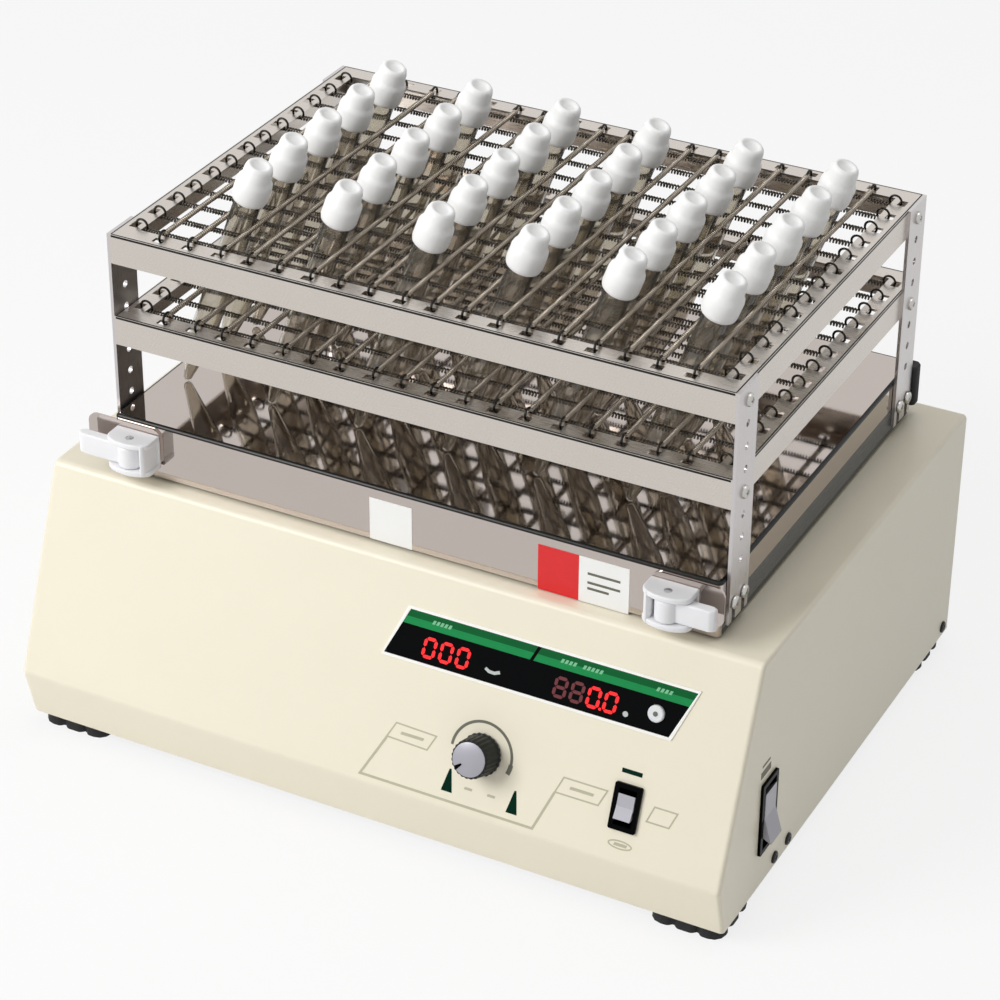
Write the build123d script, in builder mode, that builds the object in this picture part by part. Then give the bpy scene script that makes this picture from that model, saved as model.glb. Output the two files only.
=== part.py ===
"""Orbital tube shaker: a bench drive unit whose platform swirls a spring-net rack of leaning test tubes.

Frame: +X to the operator's right, +Y to the rear, +Z up.  The origin lies on the bench under the
middle of the housing.  Lengths are in millimetres, angles in degrees.
"""
import os
from math import cos, radians, sin, tan

from build123d import *

# ---------------------------------------------------------------- driving dimensions
# housing
case_width = 472.0
case_depth = 368.0
case_height = 161.0
case_wall = 2.5
crease_height = 34.0          # height of the front crease above the lower rim
toe_setback = 9.0             # how far the lower rim lies behind the crease
slope_setback = 49.0          # how far the top front edge lies behind the crease
case_edge_radius = 5.0
base_thickness = 2.0
foot_length = 46.0
foot_breadth = 44.0
foot_radius = 8.0
foot_height = 10.0
foot_inset_x = 26.0
foot_inset_y = 26.0
foot_draft = 3.0
foot_screw = 4.0

# running and seating clearances
seat_gap = 0.02               # pieces pressed or glued together
running_gap = 0.05            # shafts turning in bearings, on the radius
loose_gap = 0.3               # neighbours that pass each other

# drive
orbit_throw = 12.5            # crank radius, half of the platform's orbit
crank_phase = -73.0           # where on its orbit the platform stands
crank_axis_y = 32.0
idler_span_x = 240.0
idler_span_y = 190.0
deck_length = 320.0
deck_width = 246.0
deck_thickness = 5.0
deck_top = 105.0
pillar_diameter = 16.0
shaft_diameter = 20.0
bearing_outer = 42.0
bearing_height = 12.0
web_diameter = 58.0
web_height = 10.0
web_bottom = 150.0
pin_diameter = 15.0
pin_bearing_outer = 32.0
pin_bearing_height = 9.0
idler_shaft = 12.0
idler_bearing_outer = 28.0
idler_bearing_height = 8.0
idler_web = 44.0
idler_pin = 10.0
idler_pin_bearing_outer = 26.0
idler_pin_bearing_height = 8.0
counterweight_radius = 62.0
counterweight_height = 14.0
pulley_diameter = 120.0
motor_pulley_diameter = 40.0
pulley_height = 16.0
pulley_bottom = 68.0
belt_thickness = 2.4
belt_width = 12.0
motor_diameter = 72.0
motor_height = 56.0
motor_shaft = 8.0
motor_distance = 112.0

# platform
platform_width = 399.4
platform_depth = 290.0
platform_skirt = 36.0
platform_gap = 2.0            # skirt above the housing's top
sheet = 1.5

# rack
rack_width = 400.0
rack_depth = 276.0
tier_flange = 19.0
tier_lip = 13.0
tier_gap = 54.0
top_tier_height = 117.0       # top tier above the platform
net_pitch = 20.0
cross_spring = 3.6            # coil diameter of the front-to-rear springs
long_spring = 3.0             # coil diameter of the side-to-side springs
spring_wire = 1.2
hook_slot_length = 7.0        # along the lip
hook_slot_width = 5.0
post_width = 26.0
post_thickness = 2.0
post_foot = 31.0              # how far the posts reach below the platform's top
post_hole = 4.5
post_hole_pitch = 14.5
stud_diameter = 4.0
stud_head = 8.0
stud_spacing = 13.0
screw_head = 8.0

# tubes
tube_diameter = 16.5
tube_length = 165.0
tube_wall = 1.2
tube_columns = 6
tube_rows = 5
tube_column_cells = 3         # net cells from one column to the next
tube_row_cells = 2
first_column_cell = -7        # leftmost column, in cells from the rack's middle
first_row_cell = -4.5         # foremost row, in cells from the rack's middle
cap_diameter = 22.0
cap_height = 26.0
cap_roof = 3.5

# corner latches
latch_inset_left = 18.0       # pivot inside the platform's side
latch_inset_right = 27.0
latch_reach_left = 18.0       # arm beyond the platform's side
latch_reach_right = 3.0
latch_half_width = 15.0
latch_depth = 18.0            # ears in front of the skirt
latch_standoff = 10.0         # pivot in front of the skirt
latch_plate = 2.0             # back plate on the skirt
latch_height = 22.0
latch_ear = 3.5
latch_pin = 5.0
latch_hub = 15.0              # diameter of the lever round its pin
latch_arm_thickness = 7.0
latch_rise = 1.0              # latch middle above the skirt's middle
mounting_height = 26.0        # sheet mounting plate behind each latch
mounting_radius = 6.0
mounting_drop = 2.5           # its upper edge below the platform's top

# front panel, in distances along the slope from the crease
window_width = 183.0
window_height = 29.5
window_skew = 12.5
window_x = 103.4
window_low = 80.5
window_thickness = 4.0
digit_width = 10.6
digit_height = 17.0
digit_depth = 8.0
speed_digits_x = 44.0
time_digits_x = 134.5
button_diameter = 10.0
button_x = 179.0
button_up = 92.0
button_travel = 1.0
knob_diameter = 26.0
knob_height = 17.0
knob_x = 78.0
knob_up = 38.0
pot_shaft = 6.0
run_frame_width = 17.0
run_frame_height = 28.0
run_x = 171.5
run_up = 33.5
rocker_swing = 16.0           # full swing of a rocker from off to on
rocker_pin = 4.0
rocker_depth = 6.0            # how far a rocker reaches behind its pivot
rocker_heel = 0.55            # breadth of a rocker's heel over its face
run_rocker_length = 15.0
power_rocker_length = 34.0

# right side
power_frame_width = 22.0
power_frame_height = 50.0
power_y = -119.0
power_z = 60.0
side_screw = 5.0
side_screw_height = 6.5       # above the lower rim

# rear
inlet_width = 28.0
inlet_height = 20.0
inlet_x = 150.0
inlet_z = 60.0

# ---------------------------------------------------------------- derived places
case_bottom = foot_height
case_top = foot_height + case_height
front_y = -case_depth / 2
rear_y = case_depth / 2
crease_z = case_bottom + crease_height
slope_rise = case_height - crease_height
panel = Plane(origin=(0, front_y, crease_z), x_dir=(1, 0, 0), z_dir=(0, -slope_rise, slope_setback))
side = Plane(origin=(case_width / 2, 0, 0), x_dir=(0, 1, 0), z_dir=(1, 0, 0))
rear = Plane(origin=(0, rear_y, 0), x_dir=(-1, 0, 0), z_dir=(0, 1, 0))

throw_x = orbit_throw * cos(radians(crank_phase))
throw_y = orbit_throw * sin(radians(crank_phase))
stand_x = throw_x                         # the platform's middle
stand_y = crank_axis_y + throw_y
idler_places = [
    (sx * idler_span_x / 2, crank_axis_y + sy * idler_span_y / 2) for sy in (-1, 1) for sx in (-1, 1)
]
idler_hub_places = [(x + throw_x, y + throw_y) for x, y in idler_places]

platform_top = case_top + platform_gap + platform_skirt
plate_under = platform_top - sheet
top_tier_z = platform_top + top_tier_height
middle_tier_z = top_tier_z - tier_gap
tube_lean = net_pitch / tier_gap          # sideways run per unit of height: one cell per tier
hypotenuse = (1 + tube_lean**2) ** 0.5
lean_axis = (tube_lean / hypotenuse, 0, 1 / hypotenuse)
upright = 1 / hypotenuse                  # cosine of the lean

cross_z = cross_spring / 2                # spring axes above a tier's lip
long_z = cross_z - cross_spring / 2 - long_spring / 2 - loose_gap
cross_count = int((rack_width - 2 * tier_lip - net_pitch / 2) // net_pitch)
long_count = int((rack_depth - 2 * tier_lip) // net_pitch) + 1
slot_inset = tier_lip / 2                 # middle of a hook slot behind the tier's edge
hook_inset = slot_inset + hook_slot_width / 2 - spring_wire / 2 - seat_gap    # hooks pull on the slots' inner ends

os.makedirs("parts", exist_ok=True)


def save(piece, name):
    """Label a finished piece and write it as its own STEP file."""
    piece.part.label = name
    export_step(piece.part, f"parts/{name}.step")


def outermost(piece):
    """The face of a front-panel piece that lies farthest out of the panel."""
    return piece.faces().sort_by(lambda face: (face.center() - panel.origin).dot(panel.z_dir))[-1]


def case_outline(low):
    """Side outline of the housing as (y, z) points, with its lower rim at height low."""
    toe_y = front_y + toe_setback * (crease_z - low) / crease_height
    return [
        (toe_y, low),
        (front_y, crease_z),
        (front_y + slope_setback, case_top),
        (rear_y, case_top),
        (rear_y, low),
    ]


# ================================================================= housing
inner_width = case_width - 2 * case_wall
rim_y = front_y + toe_setback + case_wall + 1      # front of the base plate
base_depth = rear_y - case_wall - seat_gap - rim_y
base_y = rim_y + base_depth / 2
foot_places = [
    (sx * (case_width / 2 - foot_inset_x), y)
    for sx in (-1, 1)
    for y in (front_y + toe_setback + foot_inset_y, rear_y - foot_inset_y)
]
window_mid_up = window_low + window_height / 2


def window_outline(grow):
    """Slanted-ended outline of the display window, grown outward by a distance, in the panel's plane."""
    half = window_width / 2 + grow
    lift = window_height / 2 + grow
    lean = window_skew / 2
    points = [(-half - lean, -lift), (half - lean, -lift), (half + lean, lift), (-half + lean, lift)]
    return [(window_x + x, window_mid_up + y) for x, y in points]


with BuildPart() as body_cover:
    with BuildSketch(Plane.YZ.offset(-case_width / 2)):
        with BuildLine():
            Polyline(*case_outline(case_bottom), close=True)
        make_face()
    extrude(amount=case_width)
    long_edges = body_cover.edges().filter_by(Axis.X).filter_by(lambda e: e.center().Z > case_bottom + 1)
    fillet(long_edges, case_edge_radius)
    end_faces = body_cover.faces().filter_by(Axis.X)
    fillet(end_faces.edges().filter_by(lambda e: e.center().Z > case_bottom + 1), case_wall)
    with BuildSketch(Plane.YZ.offset(-inner_width / 2)):
        with BuildLine():
            Polyline(*case_outline(case_bottom - 2 * case_wall), close=True)
        make_face()
        offset(amount=-case_wall, kind=Kind.INTERSECTION)
    extrude(amount=inner_width, mode=Mode.SUBTRACT)
    # openings in the top, where the crank pins come through
    with BuildSketch(Plane.XY.offset(case_top)):
        with Locations((0, crank_axis_y)):
            Circle(orbit_throw + pin_diameter / 2 + 4)
        with Locations(*idler_places):
            Circle(orbit_throw + idler_pin / 2 + 4)
    extrude(amount=-2 * case_wall, mode=Mode.SUBTRACT)
    # front panel cut-outs
    with BuildSketch(panel.offset(1)):
        with BuildLine():
            Polyline(*window_outline(loose_gap / 2), close=True)
        make_face()
        with Locations((knob_x, knob_up)):
            Circle(pot_shaft / 2 + 2 + loose_gap / 2)
        with Locations((run_x, run_up)):
            Rectangle(run_frame_width - 3, run_frame_height - 3)
    extrude(amount=-2 * case_wall, mode=Mode.SUBTRACT)
    # power switch and inlet cut-outs, and the side screws' holes
    with BuildSketch(side.offset(1)):
        with Locations((power_y, power_z)):
            Rectangle(power_frame_width - 3, power_frame_height - 3)
    extrude(amount=-2 * case_wall, mode=Mode.SUBTRACT)
    with BuildSketch(rear.offset(1)):
        with Locations((-inlet_x, inlet_z)):
            Rectangle(inlet_width + loose_gap, inlet_height + loose_gap)
    extrude(amount=-2 * case_wall, mode=Mode.SUBTRACT)
save(body_cover, "body_cover")

deck_places = [
    (sx * (deck_length / 2 - pillar_diameter), crank_axis_y + sy * (deck_width / 2 - pillar_diameter))
    for sx in (-1, 1)
    for sy in (-1, 1)
]
side_screw_ys = (-103.0, -83.0, 172.0)
side_screw_z = case_bottom + side_screw_height
flange_height = 14.0

with BuildPart() as base_plate:
    with BuildSketch(Plane.XY.offset(case_bottom)):
        with Locations((0, base_y)):
            Rectangle(inner_width - 2 * seat_gap, base_depth)
        with Locations(*foot_places):
            Circle(foot_screw / 2 + seat_gap, mode=Mode.SUBTRACT)
    extrude(amount=base_thickness)
    # upturned side flanges that take the cover's screws
    with BuildSketch(Plane.XY.offset(case_bottom + base_thickness)):
        for sx in (-1, 1):
            with Locations((sx * (inner_width / 2 - seat_gap - base_thickness / 2), base_y)):
                Rectangle(base_thickness, base_depth)
    extrude(amount=flange_height - base_thickness)
save(base_plate, "base_plate")

with BuildPart() as rubber_feet:
    with BuildSketch():
        with Locations(*foot_places):
            RectangleRounded(foot_length, foot_breadth, foot_radius)
    extrude(amount=foot_height, taper=foot_draft)
    with BuildSketch():
        with Locations(*foot_places):
            Circle(foot_screw)
    extrude(amount=foot_height / 2, mode=Mode.SUBTRACT)
    with BuildSketch():
        with Locations(*foot_places):
            Circle(foot_screw / 2 + seat_gap)
    extrude(amount=foot_height, mode=Mode.SUBTRACT)
save(rubber_feet, "rubber_feet")

with BuildPart() as foot_screws:
    with BuildSketch(Plane.XY.offset(2)):
        with Locations(*foot_places):
            Circle(foot_screw - loose_gap)
    extrude(amount=foot_height / 2 - 2)
    with BuildSketch(Plane.XY.offset(foot_height / 2)):
        with Locations(*foot_places):
            Circle(foot_screw / 2)
    extrude(amount=foot_height / 2 + base_thickness + 1)
save(foot_screws, "foot_screws")

with BuildPart() as cover_screws:
    for sx in (-1, 1):
        face = Plane(origin=(sx * case_width / 2, 0, 0), x_dir=(0, 1, 0), z_dir=(sx, 0, 0))
        with BuildSketch(face):
            with Locations(*[(y, sx * side_screw_z) for y in side_screw_ys]):
                Circle(side_screw * 0.8)
        extrude(amount=1.6, taper=20)
save(cover_screws, "cover_screws")

# ================================================================= drive
with BuildPart() as deck_pillars:
    with BuildSketch(Plane.XY.offset(case_bottom + base_thickness)):
        with Locations(*deck_places):
            RegularPolygon(pillar_diameter / 2, 6)
    extrude(amount=deck_top - deck_thickness - case_bottom - base_thickness)
save(deck_pillars, "deck_pillars")

housing_bottom = deck_top - deck_thickness - 14
housing_top = deck_top + 25
main_body = bearing_outer / 2 + 9
idler_body = idler_bearing_outer / 2 + 4
idler_flange = idler_body + 7
motor_x = -motor_distance

with BuildPart() as drive_deck:
    with BuildSketch(Plane.XY.offset(deck_top - deck_thickness)):
        with Locations((0, crank_axis_y)):
            RectangleRounded(deck_length, deck_width, 12)
            Circle(main_body + seat_gap, mode=Mode.SUBTRACT)
        with Locations(*idler_places):
            Circle(idler_body + seat_gap, mode=Mode.SUBTRACT)
        with Locations((motor_x, crank_axis_y)):
            Circle(motor_shaft, mode=Mode.SUBTRACT)
    extrude(amount=deck_thickness)
save(drive_deck, "drive_deck")

with BuildPart() as main_bearing_housing:
    with BuildSketch(Plane.XY.offset(housing_bottom)):
        with Locations((0, crank_axis_y)):
            Circle(main_body)
            Circle(shaft_diameter / 2 + 4, mode=Mode.SUBTRACT)
    extrude(amount=housing_top - housing_bottom)
    with BuildSketch(Plane.XY.offset(deck_top)):
        with Locations((0, crank_axis_y)):
            Circle(main_body + 13)
            Circle(main_body - 1, mode=Mode.SUBTRACT)
    extrude(amount=6)
    for low in (housing_bottom, housing_top - bearing_height):
        with BuildSketch(Plane.XY.offset(low)):
            with Locations((0, crank_axis_y)):
                Circle(bearing_outer / 2 + seat_gap)
        extrude(amount=bearing_height, mode=Mode.SUBTRACT)
save(main_bearing_housing, "main_bearing_housing")

with BuildPart() as main_bearings:
    for low in (housing_bottom, housing_top - bearing_height):
        with BuildSketch(Plane.XY.offset(low)):
            with Locations((0, crank_axis_y)):
                Circle(bearing_outer / 2)
                Circle(shaft_diameter / 2 + running_gap, mode=Mode.SUBTRACT)
        extrude(amount=bearing_height)
save(main_bearings, "main_bearings")

pin_top = plate_under - 3
shaft_bottom = pulley_bottom - 4

with BuildPart() as crankshaft:
    with BuildSketch(Plane.XY.offset(shaft_bottom)):
        with Locations((0, crank_axis_y)):
            Circle(shaft_diameter / 2)
    extrude(amount=web_bottom - shaft_bottom)
    with BuildSketch(Plane.XY.offset(web_bottom)):
        with Locations((0, crank_axis_y)):
            Circle(web_diameter / 2)
    extrude(amount=web_height)
    chamfer(crankshaft.edges().group_by(Axis.Z)[-1], 1)
    with BuildSketch(Plane.XY.offset(web_bottom + web_height)):
        with Locations((stand_x, stand_y)):
            Circle(pin_diameter / 2)
    extrude(amount=pin_top - web_bottom - web_height)
save(crankshaft, "crankshaft")

weight_bottom = web_bottom - counterweight_height - seat_gap
heavy_side = radians(crank_phase + 180)
weight_plane = Plane(
    origin=(0, crank_axis_y, weight_bottom),
    x_dir=(cos(heavy_side), sin(heavy_side), 0),
    z_dir=(0, 0, 1),
)
with BuildPart() as counterweight:
    with BuildSketch(weight_plane):
        with BuildLine():
            arc = CenterArc((0, 0), counterweight_radius, -80, 160)
            Polyline(arc @ 1, (0, shaft_diameter), (-shaft_diameter, 0), (0, -shaft_diameter), arc @ 0)
        make_face()
        Circle(shaft_diameter / 2 + seat_gap, mode=Mode.SUBTRACT)
    extrude(amount=counterweight_height)
save(counterweight, "counterweight")


def pulley_profile(diameter, hub):
    """Half section of a flanged belt pulley: (radius, height) points above its lower face."""
    rim = diameter / 2
    lip = (pulley_height - belt_width) / 2 - loose_gap / 2
    return [
        (hub, 0),
        (rim + 2, 0),
        (rim + 2, lip),
        (rim, lip),
        (rim, pulley_height - lip),
        (rim + 2, pulley_height - lip),
        (rim + 2, pulley_height),
        (hub, pulley_height),
    ]


with BuildPart() as drive_pulley:
    with BuildSketch(Plane(origin=(0, crank_axis_y, pulley_bottom), x_dir=(1, 0, 0), z_dir=(0, -1, 0))):
        with BuildLine():
            Polyline(*pulley_profile(pulley_diameter, shaft_diameter / 2 + seat_gap), close=True)
        make_face()
    revolve(axis=Axis((0, crank_axis_y, 0), (0, 0, 1)))
save(drive_pulley, "drive_pulley")

with BuildPart() as motor_pulley:
    with BuildSketch(Plane(origin=(motor_x, crank_axis_y, pulley_bottom), x_dir=(1, 0, 0), z_dir=(0, -1, 0))):
        with BuildLine():
            Polyline(*pulley_profile(motor_pulley_diameter, motor_shaft / 2 + seat_gap), close=True)
        make_face()
    revolve(axis=Axis((motor_x, crank_axis_y, 0), (0, 0, 1)))
save(motor_pulley, "motor_pulley")

with BuildPart() as motor_spindle:
    with BuildSketch(Plane.XY.offset(pulley_bottom - 2)):
        with Locations((motor_x, crank_axis_y)):
            Circle(motor_shaft / 2)
    extrude(amount=deck_top + 12 - pulley_bottom + 2)
save(motor_spindle, "motor_spindle")


def belt_hull(extra):
    """Outline round both pulleys at a distance outside their rims."""
    with Locations((0, crank_axis_y)):
        Circle(pulley_diameter / 2 + extra)
    with Locations((motor_x, crank_axis_y)):
        Circle(motor_pulley_diameter / 2 + extra)
    make_hull()


belt_low = pulley_bottom + (pulley_height - belt_width) / 2
with BuildPart() as drive_belt:
    with BuildSketch(Plane.XY.offset(belt_low)):
        belt_hull(loose_gap + belt_thickness)
    extrude(amount=belt_width)
    with BuildSketch(Plane.XY.offset(belt_low)):
        belt_hull(loose_gap)
    extrude(amount=belt_width, mode=Mode.SUBTRACT)
save(drive_belt, "drive_belt")

with BuildPart() as motor:
    with BuildSketch(Plane.XY.offset(deck_top)):
        with Locations((motor_x, crank_axis_y)):
            Rectangle(motor_diameter, motor_diameter)
    extrude(amount=4)
    with BuildSketch(Plane.XY.offset(deck_top + 4)):
        with Locations((motor_x, crank_axis_y)):
            Circle(motor_diameter / 2)
    extrude(amount=motor_height - 4)
    with BuildSketch(Plane.XY.offset(deck_top)):
        with Locations((motor_x, crank_axis_y)):
            Circle(motor_shaft / 2 + running_gap)
    extrude(amount=14, mode=Mode.SUBTRACT)
save(motor, "motor")

with BuildPart() as idler_housings:
    with BuildSketch(Plane.XY.offset(housing_bottom)):
        with Locations(*idler_places):
            Circle(idler_body)
            Circle(idler_shaft / 2 + 3, mode=Mode.SUBTRACT)
    extrude(amount=housing_top - housing_bottom)
    with BuildSketch(Plane.XY.offset(deck_top)):
        with Locations(*idler_places):
            Circle(idler_flange)
            Circle(idler_body - 1, mode=Mode.SUBTRACT)
    extrude(amount=5)
    for low in (housing_bottom, housing_top - idler_bearing_height):
        with BuildSketch(Plane.XY.offset(low)):
            with Locations(*idler_places):
                Circle(idler_bearing_outer / 2 + seat_gap)
        extrude(amount=idler_bearing_height, mode=Mode.SUBTRACT)
save(idler_housings, "idler_housings")

with BuildPart() as idler_bearings:
    for low in (housing_bottom, housing_top - idler_bearing_height):
        with BuildSketch(Plane.XY.offset(low)):
            with Locations(*idler_places):
                Circle(idler_bearing_outer / 2)
                Circle(idler_shaft / 2 + running_gap, mode=Mode.SUBTRACT)
        extrude(amount=idler_bearing_height)
save(idler_bearings, "idler_bearings")

idler_names = ("front_left", "front_right", "rear_left", "rear_right")
for corner, (x, y) in zip(idler_names, idler_places):
    with BuildPart() as idler_crank:
        with BuildSketch(Plane.XY.offset(housing_bottom)):
            with Locations((x, y)):
                Circle(idler_shaft / 2)
        extrude(amount=web_bottom - housing_bottom)
        with BuildSketch(Plane.XY.offset(web_bottom)):
            with Locations((x, y)):
                Circle(idler_web / 2)
        extrude(amount=web_height - 2)
        with BuildSketch(Plane.XY.offset(web_bottom + web_height - 2)):
            with Locations((x + throw_x, y + throw_y)):
                Circle(idler_pin / 2)
        extrude(amount=pin_top - web_bottom - web_height + 2)
    save(idler_crank, f"idler_crank_{corner}")

# ================================================================= electrics
board_z = case_bottom + base_thickness + 10
board_places = [(sx * 55 + 100, crank_axis_y + sy * 35) for sx in (-1, 1) for sy in (-1, 1)]
with BuildPart() as board_standoffs:
    with BuildSketch(Plane.XY.offset(case_bottom + base_thickness)):
        with Locations(*board_places):
            RegularPolygon(3.5, 6)
    extrude(amount=board_z - case_bottom - base_thickness)
save(board_standoffs, "board_standoffs")

with BuildPart() as control_board:
    with BuildSketch(Plane.XY.offset(board_z)):
        with Locations((100, crank_axis_y)):
            Rectangle(124, 84)
    extrude(amount=1.6)
    with BuildSketch(Plane.XY.offset(board_z + 1.6)):
        with Locations((70, crank_axis_y)):
            Rectangle(42, 34)
    extrude(amount=30)
    with BuildSketch(Plane.XY.offset(board_z + 1.6)):
        with Locations((115, crank_axis_y - 15), (115, crank_axis_y + 15)):
            Circle(8)
        with Locations((145, crank_axis_y)):
            Rectangle(10, 60)
    extrude(amount=24)
save(control_board, "control_board")

# ================================================================= front panel
window_back = case_wall + 0.2
with BuildPart() as display_window:
    with BuildSketch(panel.offset(-window_back)):
        with BuildLine():
            Polyline(*window_outline(0), close=True)
        make_face()
        with Locations((button_x, button_up)):
            Circle(button_diameter / 2 + loose_gap / 2, mode=Mode.SUBTRACT)
    extrude(amount=window_back + 0.4)
    with BuildSketch(panel.offset(-window_back)):
        with BuildLine():
            Polyline(*window_outline(3), close=True)
        make_face()
        with Locations((button_x, button_up)):
            Circle(button_diameter / 2 + loose_gap / 2, mode=Mode.SUBTRACT)
    extrude(amount=-(window_thickness - window_back))
save(display_window, "display_window")

board_front = window_thickness + digit_depth + 0.5
with BuildPart() as digit_modules:
    with BuildSketch(panel.offset(-window_thickness - 0.5)):
        with Locations((speed_digits_x, window_low + 9.5)):
            Rectangle(3 * digit_width, digit_height)
        with Locations((time_digits_x, window_low + 9.5)):
            Rectangle(4 * digit_width, digit_height)
    extrude(amount=-digit_depth)
save(digit_modules, "digit_modules")

with BuildPart() as display_board:
    with BuildSketch(panel.offset(-board_front)):
        with Locations((window_x, window_mid_up)):
            Rectangle(window_width + 6, window_height + 8)
    extrude(amount=-1.6)
    # spacers that carry the window's back face
    with BuildSketch(panel.offset(-board_front)):
        with Locations(*[(window_x + x, window_mid_up) for x in (-80, -15, 64)]):
            Circle(3)
    extrude(amount=board_front - window_thickness)
save(display_board, "display_board")

button_flange = 1.5
with BuildPart() as set_button:
    with BuildSketch(panel.offset(-window_thickness - loose_gap - button_flange)):
        with Locations((button_x, button_up)):
            Circle(button_diameter / 2 + 1.5)
    extrude(amount=button_flange)
    with BuildSketch(panel.offset(-window_thickness - loose_gap)):
        with Locations((button_x, button_up)):
            Circle(button_diameter / 2)
    extrude(amount=window_thickness + loose_gap + 2.4)
    chamfer(outermost(set_button).edges(), 0.6)
save(set_button, "set_button")

with BuildPart() as button_switch:
    with BuildSketch(panel.offset(-board_front)):
        with Locations((button_x, button_up)):
            Rectangle(6, 6)
    extrude(amount=board_front - window_thickness - 2 * loose_gap - button_flange - button_travel)
save(button_switch, "button_switch")

bush_radius = pot_shaft / 2 + 2
with BuildPart() as speed_control:
    with BuildSketch(panel.offset(-case_wall)):
        with Locations((knob_x, knob_up)):
            Circle(11)
    extrude(amount=-9)
    with BuildSketch(panel.offset(-case_wall)):
        with Locations((knob_x, knob_up)):
            Circle(bush_radius)
    extrude(amount=case_wall + 5)
    with BuildSketch(panel):
        with Locations((knob_x, knob_up)):
            RegularPolygon(bush_radius + 2, 6)
    extrude(amount=2)
    with BuildSketch(panel.offset(-case_wall - 9)):
        with Locations((knob_x, knob_up)):
            Circle(pot_shaft / 2 + running_gap)
    extrude(amount=case_wall + 14, mode=Mode.SUBTRACT)
save(speed_control, "speed_control")

with BuildPart() as control_spindle:
    with BuildSketch(panel.offset(-case_wall - 8)):
        with Locations((knob_x, knob_up)):
            Circle(pot_shaft / 2)
    extrude(amount=case_wall + 8 + knob_height - 4)
save(control_spindle, "control_spindle")

knob_seat = loose_gap
knob_flutes = 18
with BuildPart() as speed_knob:
    with BuildSketch(panel.offset(knob_seat)):
        with Locations((knob_x, knob_up)):
            Circle(knob_diameter / 2)
    extrude(amount=knob_height - knob_seat, taper=3)
    fillet(outermost(speed_knob).edges(), 1.2)
    with BuildSketch(panel.offset(3)):
        with Locations((knob_x, knob_up)):
            with PolarLocations(knob_diameter / 2 + 0.3, knob_flutes):
                Circle(1.3)
    extrude(amount=knob_height - 5, mode=Mode.SUBTRACT)
    # hollow underside over the nut, and the spindle's bore
    with BuildSketch(panel.offset(knob_seat)):
        with Locations((knob_x, knob_up)):
            Circle(bush_radius + 3)
    extrude(amount=6, mode=Mode.SUBTRACT)
    with BuildSketch(panel.offset(knob_seat)):
        with Locations((knob_x, knob_up)):
            Circle(pot_shaft / 2 + seat_gap)
    extrude(amount=knob_height - 4, mode=Mode.SUBTRACT)
save(speed_knob, "speed_knob")


def rocker_outline(length, lift, depth):
    """Side outline of a rocker about its pivot: (along, outward) points, with its two faces meeting low."""
    half = length / 2
    dip = lift - half * tan(radians(rocker_swing / 2))
    heel = half * rocker_heel
    return [(-half, lift), (0, dip), (half, lift), (heel, -depth), (-heel, -depth)]


def switch_frame(plane, width, height, depth):
    """Bezel and open-fronted body of a rocker switch, on a plane centred on the switch."""
    with BuildPart() as frame:
        with BuildSketch(plane):
            RectangleRounded(width, height, 1.2)
        extrude(amount=frame_rim)
        with BuildSketch(plane):
            Rectangle(width - 3 - loose_gap, height - 3 - loose_gap)
        extrude(amount=-depth)
        with BuildSketch(plane.offset(frame_rim)):
            Rectangle(width - 6, height - 6)
        extrude(amount=-(depth - 2 + frame_rim), mode=Mode.SUBTRACT)
    return frame


def rocker_plane(frame):
    """Plane square to a rocker's pivot, through the switch's middle: X runs up the switch, Y outward."""
    return Plane(origin=frame.origin, x_dir=frame.y_dir, z_dir=frame.x_dir)


run_plane = Plane(origin=panel.from_local_coords((run_x, run_up, 0)), x_dir=(1, 0, 0), z_dir=panel.z_dir)
power_plane = Plane(origin=(case_width / 2, power_y, power_z), x_dir=(0, 1, 0), z_dir=(1, 0, 0))
frame_rim = 1.8

save(switch_frame(run_plane, run_frame_width, run_frame_height, 18), "run_switch_frame")
save(switch_frame(power_plane, power_frame_width, power_frame_height, 24), "power_switch_frame")


def rocker_body(frame, width, length, proud):
    """Rocker standing in its off position, with a pivot pin that ends just short of the frame's walls."""
    square = rocker_plane(frame)
    tilted = Plane(square.location * Location((0, 0, 0), (0, 0, -rocker_swing / 2)))
    with BuildPart() as rocker:
        with BuildSketch(tilted):
            with BuildLine():
                Polyline(*rocker_outline(length, proud, rocker_depth), close=True)
            make_face()
        extrude(amount=width / 2, both=True)
        with BuildSketch(square):
            Circle(rocker_pin / 2)
        extrude(amount=width / 2 + loose_gap - running_gap, both=True)
    return rocker


run_rocker = rocker_body(run_plane, run_frame_width - 6 - 2 * loose_gap, run_rocker_length, 3.4)
save(run_rocker, "run_switch_rocker")

power_rocker = rocker_body(power_plane, power_frame_width - 6 - 2 * loose_gap, power_rocker_length, 4.6)
save(power_rocker, "power_switch_rocker")

inlet_plane = Plane(origin=(inlet_x, rear_y, inlet_z), x_dir=(-1, 0, 0), z_dir=(0, 1, 0))
with BuildPart() as power_inlet:
    with BuildSketch(inlet_plane):
        RectangleRounded(inlet_width + 22, inlet_height + 4, 3)
    extrude(amount=2)
    with BuildSketch(inlet_plane):
        Rectangle(inlet_width, inlet_height)
    extrude(amount=-20)
    with BuildSketch(inlet_plane.offset(2)):
        Rectangle(inlet_width - 4, inlet_height - 4)
    extrude(amount=-18, mode=Mode.SUBTRACT)
    with BuildSketch(inlet_plane.offset(-16)):
        with Locations((-7, -1.5), (0, 2.5), (7, -1.5)):
            Rectangle(2, 4)
    extrude(amount=12)
save(power_inlet, "power_inlet")

with BuildPart() as inlet_screws:
    with BuildSketch(inlet_plane.offset(2)):
        with Locations((-inlet_width / 2 - 6, 0), (inlet_width / 2 + 6, 0)):
            Circle(2.8)
    extrude(amount=1.5, taper=25)
save(inlet_screws, "inlet_screws")

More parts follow.
